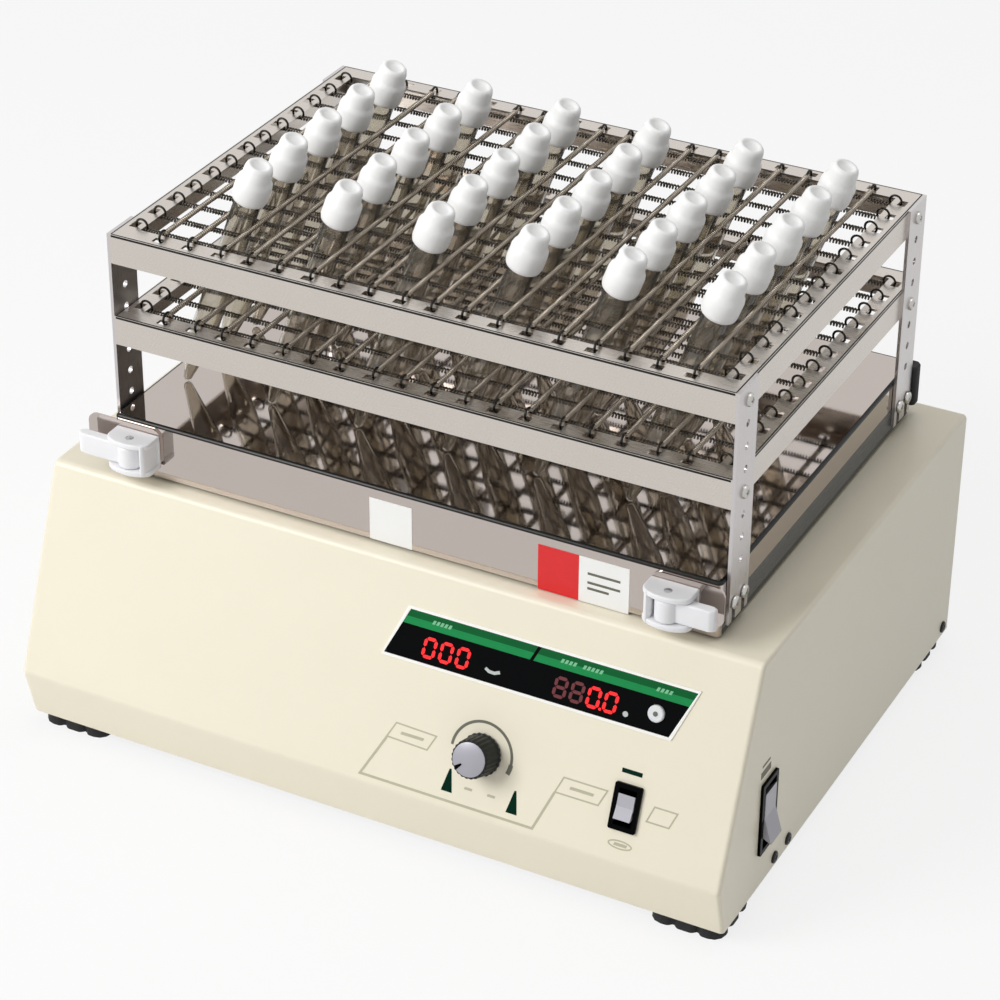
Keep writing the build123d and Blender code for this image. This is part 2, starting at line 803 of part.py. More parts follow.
# ================================================================= platform
skirt_bottom = platform_top - platform_skirt
stand = (stand_x, stand_y)
front_skirt_y = stand_y - platform_depth / 2
side_skirt_x = platform_width / 2

with BuildPart() as platform:
    with BuildSketch(Plane.XY.offset(skirt_bottom)):
        with Locations(stand):
            Rectangle(platform_width, platform_depth)
    extrude(amount=platform_skirt)
    fillet(platform.edges().filter_by(Axis.Z), 3)
    fillet(platform.edges().group_by(Axis.Z)[-1], 2)
    with BuildSketch(Plane.XY.offset(skirt_bottom)):
        with Locations(stand):
            RectangleRounded(platform_width - 2 * sheet, platform_depth - 2 * sheet, 3 - sheet)
    extrude(amount=platform_skirt - sheet, mode=Mode.SUBTRACT)
save(platform, "platform")

hub_bottom = plate_under - 24
hub_body = pin_bearing_outer / 2 + 5
idler_hub_body = idler_pin_bearing_outer / 2 + 4

with BuildPart() as platform_hub:
    with BuildSketch(Plane.XY.offset(hub_bottom)):
        with Locations(stand):
            Circle(hub_body)
            Circle(pin_bearing_outer / 2 + seat_gap, mode=Mode.SUBTRACT)
    extrude(amount=plate_under - hub_bottom)
    with BuildSketch(Plane.XY.offset(plate_under - 4)):
        with Locations(stand):
            Circle(hub_body + 12)
            Circle(pin_bearing_outer / 2 + seat_gap, mode=Mode.SUBTRACT)
    extrude(amount=4)
save(platform_hub, "platform_hub")

with BuildPart() as hub_bearings:
    with BuildSketch(Plane.XY.offset(hub_bottom)):
        with Locations(stand):
            Circle(pin_bearing_outer / 2)
            Circle(pin_diameter / 2 + running_gap, mode=Mode.SUBTRACT)
    extrude(amount=2 * pin_bearing_height)
save(hub_bearings, "hub_bearings")

idler_hub_bottom = plate_under - 20
with BuildPart() as idler_hubs:
    with BuildSketch(Plane.XY.offset(idler_hub_bottom)):
        with Locations(*idler_hub_places):
            Circle(idler_hub_body)
    extrude(amount=plate_under - idler_hub_bottom)
    with BuildSketch(Plane.XY.offset(plate_under - 3)):
        with Locations(*idler_hub_places):
            Circle(idler_hub_body + 9)
    extrude(amount=3)
    with BuildSketch(Plane.XY.offset(idler_hub_bottom)):
        with Locations(*idler_hub_places):
            Circle(idler_pin_bearing_outer / 2 + seat_gap)
    extrude(amount=plate_under - idler_hub_bottom, mode=Mode.SUBTRACT)
save(idler_hubs, "idler_hubs")

with BuildPart() as idler_hub_bearings:
    with BuildSketch(Plane.XY.offset(idler_hub_bottom)):
        with Locations(*idler_hub_places):
            Circle(idler_pin_bearing_outer / 2)
            Circle(idler_pin / 2 + 2 * running_gap, mode=Mode.SUBTRACT)
    extrude(amount=idler_pin_bearing_height)
save(idler_hub_bearings, "idler_hub_bearings")

# ================================================================= rack
rack_front_y = stand_y - rack_depth / 2
rack_rear_y = stand_y + rack_depth / 2
post_bottom = platform_top - post_foot
post_ys = (rack_front_y + post_width / 2, rack_rear_y - post_width / 2)
stud_z = post_bottom + 12
stud_ys = [y + s * stud_spacing / 2 for y in post_ys for s in (-1, 1)]
hole_count = int((top_tier_z - tier_flange / 2 - platform_top) // post_hole_pitch) + 1
hole_zs = [top_tier_z - tier_flange / 2 - i * post_hole_pitch for i in range(hole_count)]
middle_hole = round(tier_gap / post_hole_pitch)
tier_screw_zs = (hole_zs[0], hole_zs[middle_hole])
outer_x = rack_width / 2

with BuildPart() as rack_posts:
    for sx in (-1, 1):
        inner = Plane(origin=(stand_x + sx * outer_x, 0, 0), x_dir=(0, sx, 0), z_dir=(sx, 0, 0))
        with BuildSketch(inner):
            with Locations(*[(sx * y, (post_bottom + top_tier_z) / 2) for y in post_ys]):
                Rectangle(post_width, top_tier_z - post_bottom)
            with Locations(*[(sx * y, z) for y in post_ys for z in hole_zs]):
                Circle(post_hole / 2, mode=Mode.SUBTRACT)
            # open-ended slots that drop over the platform's studs
            with Locations(*[(sx * y, stud_z) for y in stud_ys]):
                Circle(stud_diameter / 2 + loose_gap, mode=Mode.SUBTRACT)
            with Locations(*[(sx * y, (post_bottom + stud_z) / 2) for y in stud_ys]):
                Rectangle(stud_diameter + 2 * loose_gap, stud_z - post_bottom, mode=Mode.SUBTRACT)
        extrude(amount=post_thickness)
save(rack_posts, "rack_posts")

with BuildPart() as rack_studs:
    for sx in (-1, 1):
        skin = Plane(origin=(stand_x + sx * side_skirt_x, 0, 0), x_dir=(0, sx, 0), z_dir=(sx, 0, 0))
        collar = outer_x - side_skirt_x + post_thickness + loose_gap
        with BuildSketch(skin):
            with Locations(*[(sx * y, stud_z) for y in stud_ys]):
                Circle(stud_diameter / 2)
        extrude(amount=collar)
        with BuildSketch(skin.offset(collar)):
            with Locations(*[(sx * y, stud_z) for y in stud_ys]):
                Circle(stud_head / 2)
        extrude(amount=2.2)
save(rack_studs, "rack_studs")

with BuildPart() as tier_screws:
    for sx in (-1, 1):
        skin = Plane(origin=(stand_x + sx * (outer_x + post_thickness), 0, 0), x_dir=(0, sx, 0), z_dir=(sx, 0, 0))
        with BuildSketch(skin):
            with Locations(*[(sx * y, z) for y in post_ys for z in tier_screw_zs]):
                Circle(screw_head / 2)
        extrude(amount=2.2)
save(tier_screws, "tier_screws")

column_xs = [stand_x + (first_column_cell + tube_column_cells * i) * net_pitch for i in range(tube_columns)]
row_ys = [stand_y + (first_row_cell + tube_row_cells * i) * net_pitch for i in range(tube_rows)]
cross_xs = [stand_x + (i - (cross_count - 1) / 2) * net_pitch for i in range(cross_count)]
long_ys = [stand_y + (i - (long_count - 1) / 2) * net_pitch for i in range(long_count)]


def tier_frame(lip_z):
    """Flanged frame of one tier: four upright flanges with an inward lip, slotted for the spring hooks."""
    with BuildPart() as frame:
        with BuildSketch(Plane.XY.offset(lip_z - tier_flange)):
            with Locations(stand):
                Rectangle(rack_width, rack_depth)
                Rectangle(rack_width - 2 * sheet, rack_depth - 2 * sheet, mode=Mode.SUBTRACT)
        extrude(amount=tier_flange - sheet)
        with BuildSketch(Plane.XY.offset(lip_z - sheet)):
            with Locations(stand):
                Rectangle(rack_width, rack_depth)
                Rectangle(rack_width - 2 * tier_lip, rack_depth - 2 * tier_lip, mode=Mode.SUBTRACT)
            with Locations(*[(x, stand_y + s * (rack_depth / 2 - slot_inset)) for x in cross_xs for s in (-1, 1)]):
                Rectangle(hook_slot_length, hook_slot_width, mode=Mode.SUBTRACT)
            with Locations(*[(stand_x + s * (rack_width / 2 - slot_inset), y) for y in long_ys for s in (-1, 1)]):
                Rectangle(hook_slot_width, hook_slot_length, mode=Mode.SUBTRACT)
        extrude(amount=sheet)
    return frame


save(tier_frame(top_tier_z), "top_tier_frame")
save(tier_frame(middle_tier_z), "middle_tier_frame")


def pushed_aside(place, tubes, room):
    """Where a spring really lies when the tubes beside it press it away from their axes."""
    for tube in tubes:
        if abs(place - tube) < room:
            return tube + room if place > tube else tube - room
    return place


def tube_xs_at(lip_z):
    """X places of the leaning tubes' axes at a height."""
    return [x - (top_tier_z - lip_z) * tube_lean for x in column_xs]


cross_room = (tube_diameter / 2 + cross_spring / 2 + loose_gap) / upright
long_room = tube_diameter / 2 + long_spring / 2 + loose_gap


def spring_hook(reach, drop, wire):
    """Square-cut outline of a hook: out from the coil's end at axis height, then down through the lip."""
    return [
        (0, -wire / 2),
        (reach - wire / 2, -wire / 2),
        (reach - wire / 2, -drop),
        (reach + wire / 2, -drop),
        (reach + wire / 2, wire / 2),
        (0, wire / 2),
    ]


hook_drop = sheet + 2


def cross_springs(lip_z):
    """Front-to-rear springs of one tier, lying on top, with a hook at each end."""
    axis_z = lip_z + cross_z
    coil = rack_depth - 2 * tier_lip - 2 * loose_gap
    reach = (rack_depth - coil) / 2 - hook_inset
    places = [pushed_aside(x, tube_xs_at(axis_z), cross_room) for x in cross_xs]
    with BuildPart() as springs:
        with BuildSketch(Plane.XZ.offset(-stand_y - coil / 2)):
            with Locations(*[(x, axis_z) for x in places]):
                Circle(cross_spring / 2)
        extrude(amount=coil)
        for end in (-1, 1):
            for x in places:
                flat = Plane(origin=(x, stand_y + end * coil / 2, axis_z), x_dir=(0, end, 0), z_dir=(end, 0, 0))
                with BuildSketch(flat.offset(-spring_wire / 2)):
                    with BuildLine():
                        Polyline(*spring_hook(reach, hook_drop + cross_z, spring_wire), close=True)
                    make_face()
                extrude(amount=spring_wire)
    return springs


def long_springs(lip_z):
    """Side-to-side springs of one tier, lying under the others, with a raised hook at each end."""
    axis_z = lip_z + long_z
    coil = rack_width - 2 * tier_lip - 2 * loose_gap
    reach = (rack_width - coil) / 2 - hook_inset
    rise = spring_wire / 2 - long_z + loose_gap
    places = [pushed_aside(y, row_ys, long_room) for y in long_ys]
    half = spring_wire / 2
    outline = [
        (-2 * spring_wire, -half),
        (-spring_wire, -half),
        (-spring_wire, rise - half),
        (reach - half, rise - half),
        (reach - half, -hook_drop - long_z),
        (reach + half, -hook_drop - long_z),
        (reach + half, rise + half),
        (-2 * spring_wire, rise + half),
    ]
    with BuildPart() as springs:
        with BuildSketch(Plane.YZ.offset(stand_x - coil / 2)):
            with Locations(*[(y, axis_z) for y in places]):
                Circle(long_spring / 2)
        extrude(amount=coil)
        for end in (-1, 1):
            for y in places:
                flat = Plane(origin=(stand_x + end * coil / 2, y, axis_z), x_dir=(end, 0, 0), z_dir=(0, -end, 0))
                with BuildSketch(flat.offset(-half)):
                    with BuildLine():
                        Polyline(*outline, close=True)
                    make_face()
                extrude(amount=spring_wire)
    return springs


for tier, lip_z in (("top", top_tier_z), ("middle", middle_tier_z)):
    save(cross_springs(lip_z), f"{tier}_cross_springs")
    save(long_springs(lip_z), f"{tier}_long_springs")

# ================================================================= tubes and caps
# the lowest point of a leaning round-ended tube is its end sphere's underside
tube_radius = tube_diameter / 2
ball_z = platform_top + loose_gap + tube_radius
tube_places = [(x - (top_tier_z - ball_z) * tube_lean, y, ball_z) for x in column_xs for y in row_ys]
tube_planes = [Plane(origin=place, x_dir=(0, 1, 0), z_dir=lean_axis) for place in tube_places]
mouth = tube_length - tube_radius                 # the mouth's distance above the end sphere's centre

with BuildPart() as test_tubes:
    for plane in tube_planes:
        with BuildSketch(plane.offset(-tube_radius * 0.45)):
            Circle(tube_radius * 0.89)
        extrude(amount=tube_radius * 0.45)
        with BuildSketch(plane):
            Circle(tube_radius)
        extrude(amount=mouth)
        with BuildSketch(plane):
            Circle(tube_radius - tube_wall)
        extrude(amount=mouth, mode=Mode.SUBTRACT)
save(test_tubes, "test_tubes")

with BuildPart() as tube_caps:
    for plane in tube_planes:
        with BuildSketch(plane.offset(mouth + cap_roof + seat_gap - cap_height)):
            Circle(cap_diameter / 2)
        extrude(amount=cap_height)
        with BuildSketch(plane.offset(mouth + cap_roof + seat_gap - cap_height)):
            Circle(tube_radius + running_gap)
        extrude(amount=cap_height - cap_roof, mode=Mode.SUBTRACT)
save(tube_caps, "tube_caps")

# ================================================================= corner latches
mounting_face = front_skirt_y - sheet
pivot_y = mounting_face - latch_standoff
latch_mid_z = platform_top - platform_skirt / 2 + latch_rise
latch_low = latch_mid_z - latch_height / 2
latches = [
    ("left", -1, latch_inset_left, latch_reach_left),
    ("right", 1, latch_inset_right, latch_reach_right),
]
mounting_plane = Plane(origin=(0, front_skirt_y, 0), x_dir=(1, 0, 0), z_dir=(0, -1, 0))
with BuildPart() as latch_plates:
    with BuildSketch(mounting_plane):
        for _, sx, inset, reach in latches:
            length = inset + latch_half_width + reach
            middle_x = stand_x + sx * (side_skirt_x + reach - length / 2)
            with Locations((middle_x, platform_top - mounting_drop - mounting_height / 2)):
                RectangleRounded(length, mounting_height, mounting_radius)
    extrude(amount=sheet)
save(latch_plates, "latch_plates")

for name, sx, inset, reach in latches:
    pivot_x = stand_x + sx * (side_skirt_x - inset)
    with BuildPart() as latch_base:
        with BuildSketch(Plane.XY.offset(latch_low)):
            with Locations((pivot_x, mounting_face - latch_plate / 2)):
                Rectangle(2 * latch_half_width, latch_plate)
        extrude(amount=latch_height)
        for low in (latch_low, latch_low + latch_height - latch_ear):
            with BuildSketch(Plane.XY.offset(low)):
                with Locations((pivot_x, pivot_y)):
                    Ellipse(latch_half_width, latch_depth - latch_standoff)
                with Locations((pivot_x, mounting_face - latch_standoff / 2)):
                    Rectangle(2 * latch_half_width, latch_standoff)
                with Locations((pivot_x, pivot_y)):
                    Circle(latch_pin / 2 + seat_gap, mode=Mode.SUBTRACT)
            extrude(amount=latch_ear)
    save(latch_base, f"latch_base_{name}")

    lever_low = latch_low + latch_ear + loose_gap
    arm_start = pivot_x + sx * (latch_pin / 2 + running_gap)
    arm_length = stand_x + sx * (side_skirt_x + reach) - arm_start
    with BuildPart() as latch_lever:
        with BuildSketch(Plane.XY.offset(lever_low)):
            with Locations((pivot_x, pivot_y)):
                Circle(latch_hub / 2)
            with Locations((arm_start + arm_length / 2, pivot_y)):
                Rectangle(abs(arm_length), latch_arm_thickness)
            with Locations((pivot_x, pivot_y)):
                Circle(latch_pin / 2 + running_gap, mode=Mode.SUBTRACT)
        extrude(amount=latch_height - 2 * latch_ear - 2 * loose_gap)
    save(latch_lever, f"latch_lever_{name}")

with BuildPart() as latch_pins:
    with BuildSketch(Plane.XY.offset(latch_low)):
        with Locations(*[(stand_x + sx * (side_skirt_x - inset), pivot_y) for _, sx, inset, _ in latches]):
            Circle(latch_pin / 2)
    extrude(amount=latch_height)
save(latch_pins, "latch_pins")
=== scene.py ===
"""Bench orbital shaker with a spring-net tube rack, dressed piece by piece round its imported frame.

Sizes in the classes are in millimetres.  Meshes are written in metres, in the frame's own axes:
+X to the operator's right, +Y to the rear, +Z up, with the bench at zero.
"""
import logging
import math
from dataclasses import dataclass, field
from enum import Enum
from typing import Any, Iterable, Sequence

import bpy
from mathutils import Matrix, Vector


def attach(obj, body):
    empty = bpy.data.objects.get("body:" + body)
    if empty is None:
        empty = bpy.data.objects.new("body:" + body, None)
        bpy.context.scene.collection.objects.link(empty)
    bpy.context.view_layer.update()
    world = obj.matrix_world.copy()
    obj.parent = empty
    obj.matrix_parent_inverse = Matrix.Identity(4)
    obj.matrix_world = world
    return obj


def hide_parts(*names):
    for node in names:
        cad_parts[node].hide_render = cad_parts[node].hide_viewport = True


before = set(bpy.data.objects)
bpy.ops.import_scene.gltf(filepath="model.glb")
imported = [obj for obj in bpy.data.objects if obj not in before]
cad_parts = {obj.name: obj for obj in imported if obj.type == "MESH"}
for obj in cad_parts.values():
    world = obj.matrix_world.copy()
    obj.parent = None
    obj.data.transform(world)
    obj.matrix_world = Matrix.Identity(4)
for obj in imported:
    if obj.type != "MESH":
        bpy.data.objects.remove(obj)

log = logging.getLogger("shaker")
MM = 0.001
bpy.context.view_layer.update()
Outline = Sequence[tuple[float, float]]
SEAT = -0.05  # how deep a laid-on piece sits in its surface
INK = 0.12  # how proud a print stands
PLATE = 0.25  # how proud a label plate stands


# ---------------------------------------------------------------- finishes
def linear(colour: tuple[float, float, float]) -> tuple[float, float, float, float]:
    """Turn a screen colour into the renderer's linear one.

    Args:
        colour: Red, green and blue from 0 to 255.

    Returns:
        Linear red, green, blue and an alpha of one.
    """
    parts = [c / 255 for c in colour]
    straight = [p / 12.92 if p <= 0.04045 else ((p + 0.055) / 1.055) ** 2.4 for p in parts]
    return (straight[0], straight[1], straight[2], 1.0)


class Grain(Enum):
    """The way a surface's fine marks run, as stretch along X, Y and Z."""

    EVEN = (1.0, 1.0, 1.0)
    ALONG_X = (0.03, 1.0, 1.0)
    ALONG_Y = (1.0, 0.03, 1.0)
    ALONG_Z = (1.0, 1.0, 0.03)


@dataclass(frozen=True)
class Finish:
    """One surface finish, with its marks and unevenness in millimetres."""

    name: str
    colour: tuple[float, float, float]
    roughness: float
    metal: float = 0.0
    grain: Grain = Grain.EVEN
    grain_size: float = 0.6
    relief: float = 0.01
    spread: float = 0.06
    mottle: float = 0.04
    mottle_size: float = 40.0
    coat: float = 0.0
    clear: float = 0.0
    index: float = 1.5
    glow: float = 0.0

    def _noise(self, tree: bpy.types.NodeTree, size: float, stretch: tuple[float, float, float]) -> Any:
        """Add a noise pattern on object coordinates.

        Args:
            tree: The material's node tree.
            size: Size of the pattern's marks.
            stretch: Scale along X, Y and Z.

        Returns:
            The noise's value socket.
        """
        place = tree.nodes.new("ShaderNodeTexCoord")
        spread = tree.nodes.new("ShaderNodeMapping")
        spread.inputs["Scale"].default_value = stretch
        noise = tree.nodes.new("ShaderNodeTexNoise")
        noise.inputs["Scale"].default_value = 1 / (size * MM)
        noise.inputs["Detail"].default_value = 3.0
        tree.links.new(place.outputs["Object"], spread.inputs["Vector"])
        tree.links.new(spread.outputs["Vector"], noise.inputs["Vector"])
        return noise.outputs["Fac"]

    def material(self) -> bpy.types.Material:
        """Make the finish's material, or return it where it is made already."""
        label = f"{self.name}_look"
        if label in bpy.data.materials:
            return bpy.data.materials[label]
        made = bpy.data.materials.new(label)
        made.use_nodes = True
        tree = made.node_tree
        shader = tree.nodes["Principled BSDF"]
        shader.inputs["Metallic"].default_value = self.metal
        shader.inputs["IOR"].default_value = self.index
        shader.inputs["Coat Weight"].default_value = self.coat
        shader.inputs["Coat Roughness"].default_value = 0.08
        shader.inputs["Transmission Weight"].default_value = self.clear
        if self.glow:
            shader.inputs["Emission Color"].default_value = linear(self.colour)
            shader.inputs["Emission Strength"].default_value = self.glow
        fine = self._noise(tree, self.grain_size, self.grain.value)
        broad = self._noise(tree, self.mottle_size, (1.0, 1.0, 1.0))
        shades = tree.nodes.new("ShaderNodeMix")
        shades.data_type = "RGBA"
        tone = linear(self.colour)
        shades.inputs[6].default_value = tuple(c * (1 - self.mottle) for c in tone[:3]) + (1.0,)
        shades.inputs[7].default_value = tuple(min(1.0, c * (1 + self.mottle)) for c in tone[:3]) + (1.0,)
        tree.links.new(broad, shades.inputs[0])
        tree.links.new(shades.outputs[2], shader.inputs["Base Color"])
        gloss = tree.nodes.new("ShaderNodeMapRange")
        gloss.inputs["From Min"].default_value = 0.3
        gloss.inputs["From Max"].default_value = 0.7
        gloss.inputs["To Min"].default_value = max(0.02, self.roughness - self.spread)
        gloss.inputs["To Max"].default_value = min(1.0, self.roughness + self.spread)
        tree.links.new(fine, gloss.inputs["Value"])
        tree.links.new(gloss.outputs["Result"], shader.inputs["Roughness"])
        bump = tree.nodes.new("ShaderNodeBump")
        bump.inputs["Distance"].default_value = self.relief * MM
        bump.inputs["Strength"].default_value = 0.6
        tree.links.new(fine, bump.inputs["Height"])
        tree.links.new(bump.outputs["Normal"], shader.inputs["Normal"])
        return made


ENAMEL = Finish("cream_enamel", (238, 231, 210), 0.42, grain_size=0.9, relief=0.02, mottle=0.012, coat=0.15)
PRINT_KHAKI = Finish("khaki_print", (186, 182, 158), 0.6, mottle=0.05, mottle_size=8)
PRINT_GREEN = Finish("dark_green_print", (5, 40, 28), 0.5, index=1.1, mottle=0.05, mottle_size=6)
PRINT_GREY = Finish("grey_print", (104, 102, 88), 0.55, mottle=0.05, mottle_size=6)
ZINC = Finish("zinc_plate", (176, 178, 176), 0.38, metal=1.0, grain=Grain.ALONG_X, relief=0.01)
RUBBER = Finish("black_rubber", (15, 15, 16), 0.75, grain_size=0.5, relief=0.04, mottle=0.15, mottle_size=12)
BLACK_STEEL = Finish("black_screw_steel", (20, 20, 21), 0.4, metal=0.5, relief=0.02)
POLISHED = Finish(
    "polished_platform_steel", (188, 178, 172), 0.05, metal=1.0, grain=Grain.ALONG_X, relief=0.001,
    spread=0.02, mottle=0.02,
)
BRUSHED_X = Finish(
    "brushed_steel_lengthwise", (204, 197, 190), 0.3, metal=1.0, grain=Grain.ALONG_X, grain_size=0.35,
    relief=0.006, mottle=0.03,
)
BRUSHED_Z = Finish(
    "brushed_steel_upright", (200, 196, 196), 0.32, metal=1.0, grain=Grain.ALONG_Z, grain_size=0.35,
    relief=0.006, mottle=0.03,
)
SPRING = Finish(
    "spring_wire", (156, 147, 135), 0.2, metal=1.0, grain_size=0.4, relief=0.01, mottle=0.12,
    mottle_size=18,
)
# Darker copy of the spring wire for the lower side-to-side springs: painted shade, with SPRING as the lit
# copy.
SHADED_SPRING = Finish(
    "shaded_spring_wire", (88, 82, 75), 0.22, metal=1.0, grain_size=0.4, relief=0.01, mottle=0.12,
    mottle_size=18,
)
# Near-black hook rings: painted shade of the hooks in the lip slots.
SHADED_HOOK = Finish(
    "shaded_hook_wire", (48, 46, 43), 0.26, metal=1.0, grain_size=0.4, relief=0.01, mottle=0.1, mottle_size=9,
)
# Near-black strips: painted dark reflection along the platform's top edge, painted shade along the tiers' top
# edges and a painted shadow under the platform's side skirt.
EDGE_SHADE = Finish("painted_edge_shade", (34, 33, 32), 0.24, metal=0.7, grain_size=0.5, relief=0.004, mottle=0.06)
# Slate strip on the platform's right skirt: painted reflection of the shaded housing top next to the skirt.
REFLECTED_SHADE = Finish("painted_reflected_shade", (96, 99, 104), 0.3, metal=0.8, grain=Grain.ALONG_Y, relief=0.004, mottle=0.05)
BRIGHT = Finish("bright_screw_steel", (190, 188, 184), 0.25, metal=1.0, grain_size=0.4, relief=0.01)
GLASS = Finish(
    "tube_glass", (218, 213, 203), 0.05, grain_size=3.0, relief=0.0, spread=0.02, mottle=0.01,
    clear=0.96, index=1.38,
)
CAP = Finish(
    "soft_white_cap", (250, 250, 249), 0.5, grain_size=0.7, relief=0.015, mottle=0.015, mottle_size=6,
)
NYLON = Finish(
    "white_nylon", (238, 238, 240), 0.38, grain_size=0.8, relief=0.015, mottle=0.02, mottle_size=10,
)
STEEL = Finish("machined_steel", (168, 168, 168), 0.3, metal=1.0, grain_size=0.3, relief=0.006)
ALLOY = Finish(
    "cast_alloy", (172, 174, 176), 0.5, metal=1.0, grain_size=0.9, relief=0.05, mottle=0.06,
    mottle_size=15,
)
BELT = Finish("belt_rubber", (30, 30, 32), 0.7, grain=Grain.ALONG_Z, relief=0.03)
MOTOR = Finish("motor_enamel", (42, 43, 46), 0.45, grain_size=0.8, relief=0.03)
BOARD = Finish("solder_mask", (22, 88, 48), 0.35, grain_size=1.2, relief=0.03, mottle=0.12, mottle_size=5)
BRASS = Finish("turned_brass", (196, 164, 92), 0.3, metal=1.0, grain_size=0.3)
GLOSS_BLACK = Finish(
    "display_glass", (6, 7, 8), 0.12, grain_size=5, relief=0.0, spread=0.02, mottle=0.1, index=1.12,
)
WHITE_TRIM = Finish("white_trim", (250, 249, 244), 0.4, grain_size=0.8, mottle=0.01)
BAND_DARK = Finish(
    "band_green_dark", (10, 92, 46), 0.35, grain_size=0.8, mottle=0.06, mottle_size=10, index=1.2,
)
BAND_LIGHT = Finish(
    "band_green_light", (30, 138, 76), 0.35, grain_size=0.8, mottle=0.06, mottle_size=10, index=1.2,
)
BAND_PRINT = Finish("band_print", (118, 188, 142), 0.45, mottle=0.05, mottle_size=5)
LIT_RED = Finish("lit_red", (232, 20, 24), 0.4, glow=0.75)
DIM_RED = Finish("dim_red", (92, 20, 28), 0.4, glow=0.12)
PALE_MARK = Finish("pale_print", (188, 194, 190), 0.5, mottle=0.05, mottle_size=5)
BUTTON = Finish("button_white", (226, 228, 230), 0.3, mottle=0.02, mottle_size=4)
KNOB_SIDE = Finish(
    "knob_body", (40, 42, 40), 0.35, index=1.25, grain_size=0.5, relief=0.02, mottle=0.08, mottle_size=8,
)
KNOB_FACE = Finish(
    "knob_disc", (166, 164, 172), 0.35, metal=0.25, grain_size=0.4, relief=0.006, mottle=0.03,
    mottle_size=6,
)
SWITCH = Finish("switch_black", (5, 5, 6), 0.14, index=1.1, grain_size=0.7, relief=0.015, mottle=0.1)
ROCKER = Finish("rocker_grey", (178, 176, 184), 0.35, grain_size=0.7, relief=0.02, mottle=0.03, mottle_size=8)
PLATE_WHITE = Finish("plate_white", (244, 244, 242), 0.45, mottle=0.01)
PLATE_RED = Finish("plate_red", (222, 26, 30), 0.42, mottle=0.03, mottle_size=10)


# ---------------------------------------------------------------- mesh making
@dataclass(frozen=True)
class Place:
    """A right-handed set of axes on the object."""

    origin: Vector
    x: Vector = Vector((1, 0, 0))
    y: Vector = Vector((0, 1, 0))

    @property
    def z(self) -> Vector:
        """The third axis."""
        return self.x.cross(self.y)

    def at(self, x: float, y: float, z: float = 0.0) -> Vector:
        """A point in metres from its three distances along the axes."""
        return (self.origin + self.x * x + self.y * y + self.z * z) * MM

    def moved(self, x: float, y: float, z: float = 0.0, turn: float = 0.0) -> "Place":
        """The same axes shifted along themselves, then turned about Z by degrees."""
        c, s = math.cos(math.radians(turn)), math.sin(math.radians(turn))
        origin = self.origin + self.x * x + self.y * y + self.z * z
        return Place(origin, self.x * c + self.y * s, self.y * c - self.x * s)


HOME = Place(Vector((0, 0, 0)))


def box(x0: float, x1: float, y0: float, y1: float) -> list[tuple[float, float]]:
    """Outline of an upright rectangle."""
    return [(x0, y0), (x1, y0), (x1, y1), (x0, y1)]


def oval(across: float, up: float, angles: Iterable[float]) -> list[tuple[float, float]]:
    """Points of an ellipse about the origin, at angles in degrees."""
    return [(across * math.cos(math.radians(a)), up * math.sin(math.radians(a))) for a in angles]


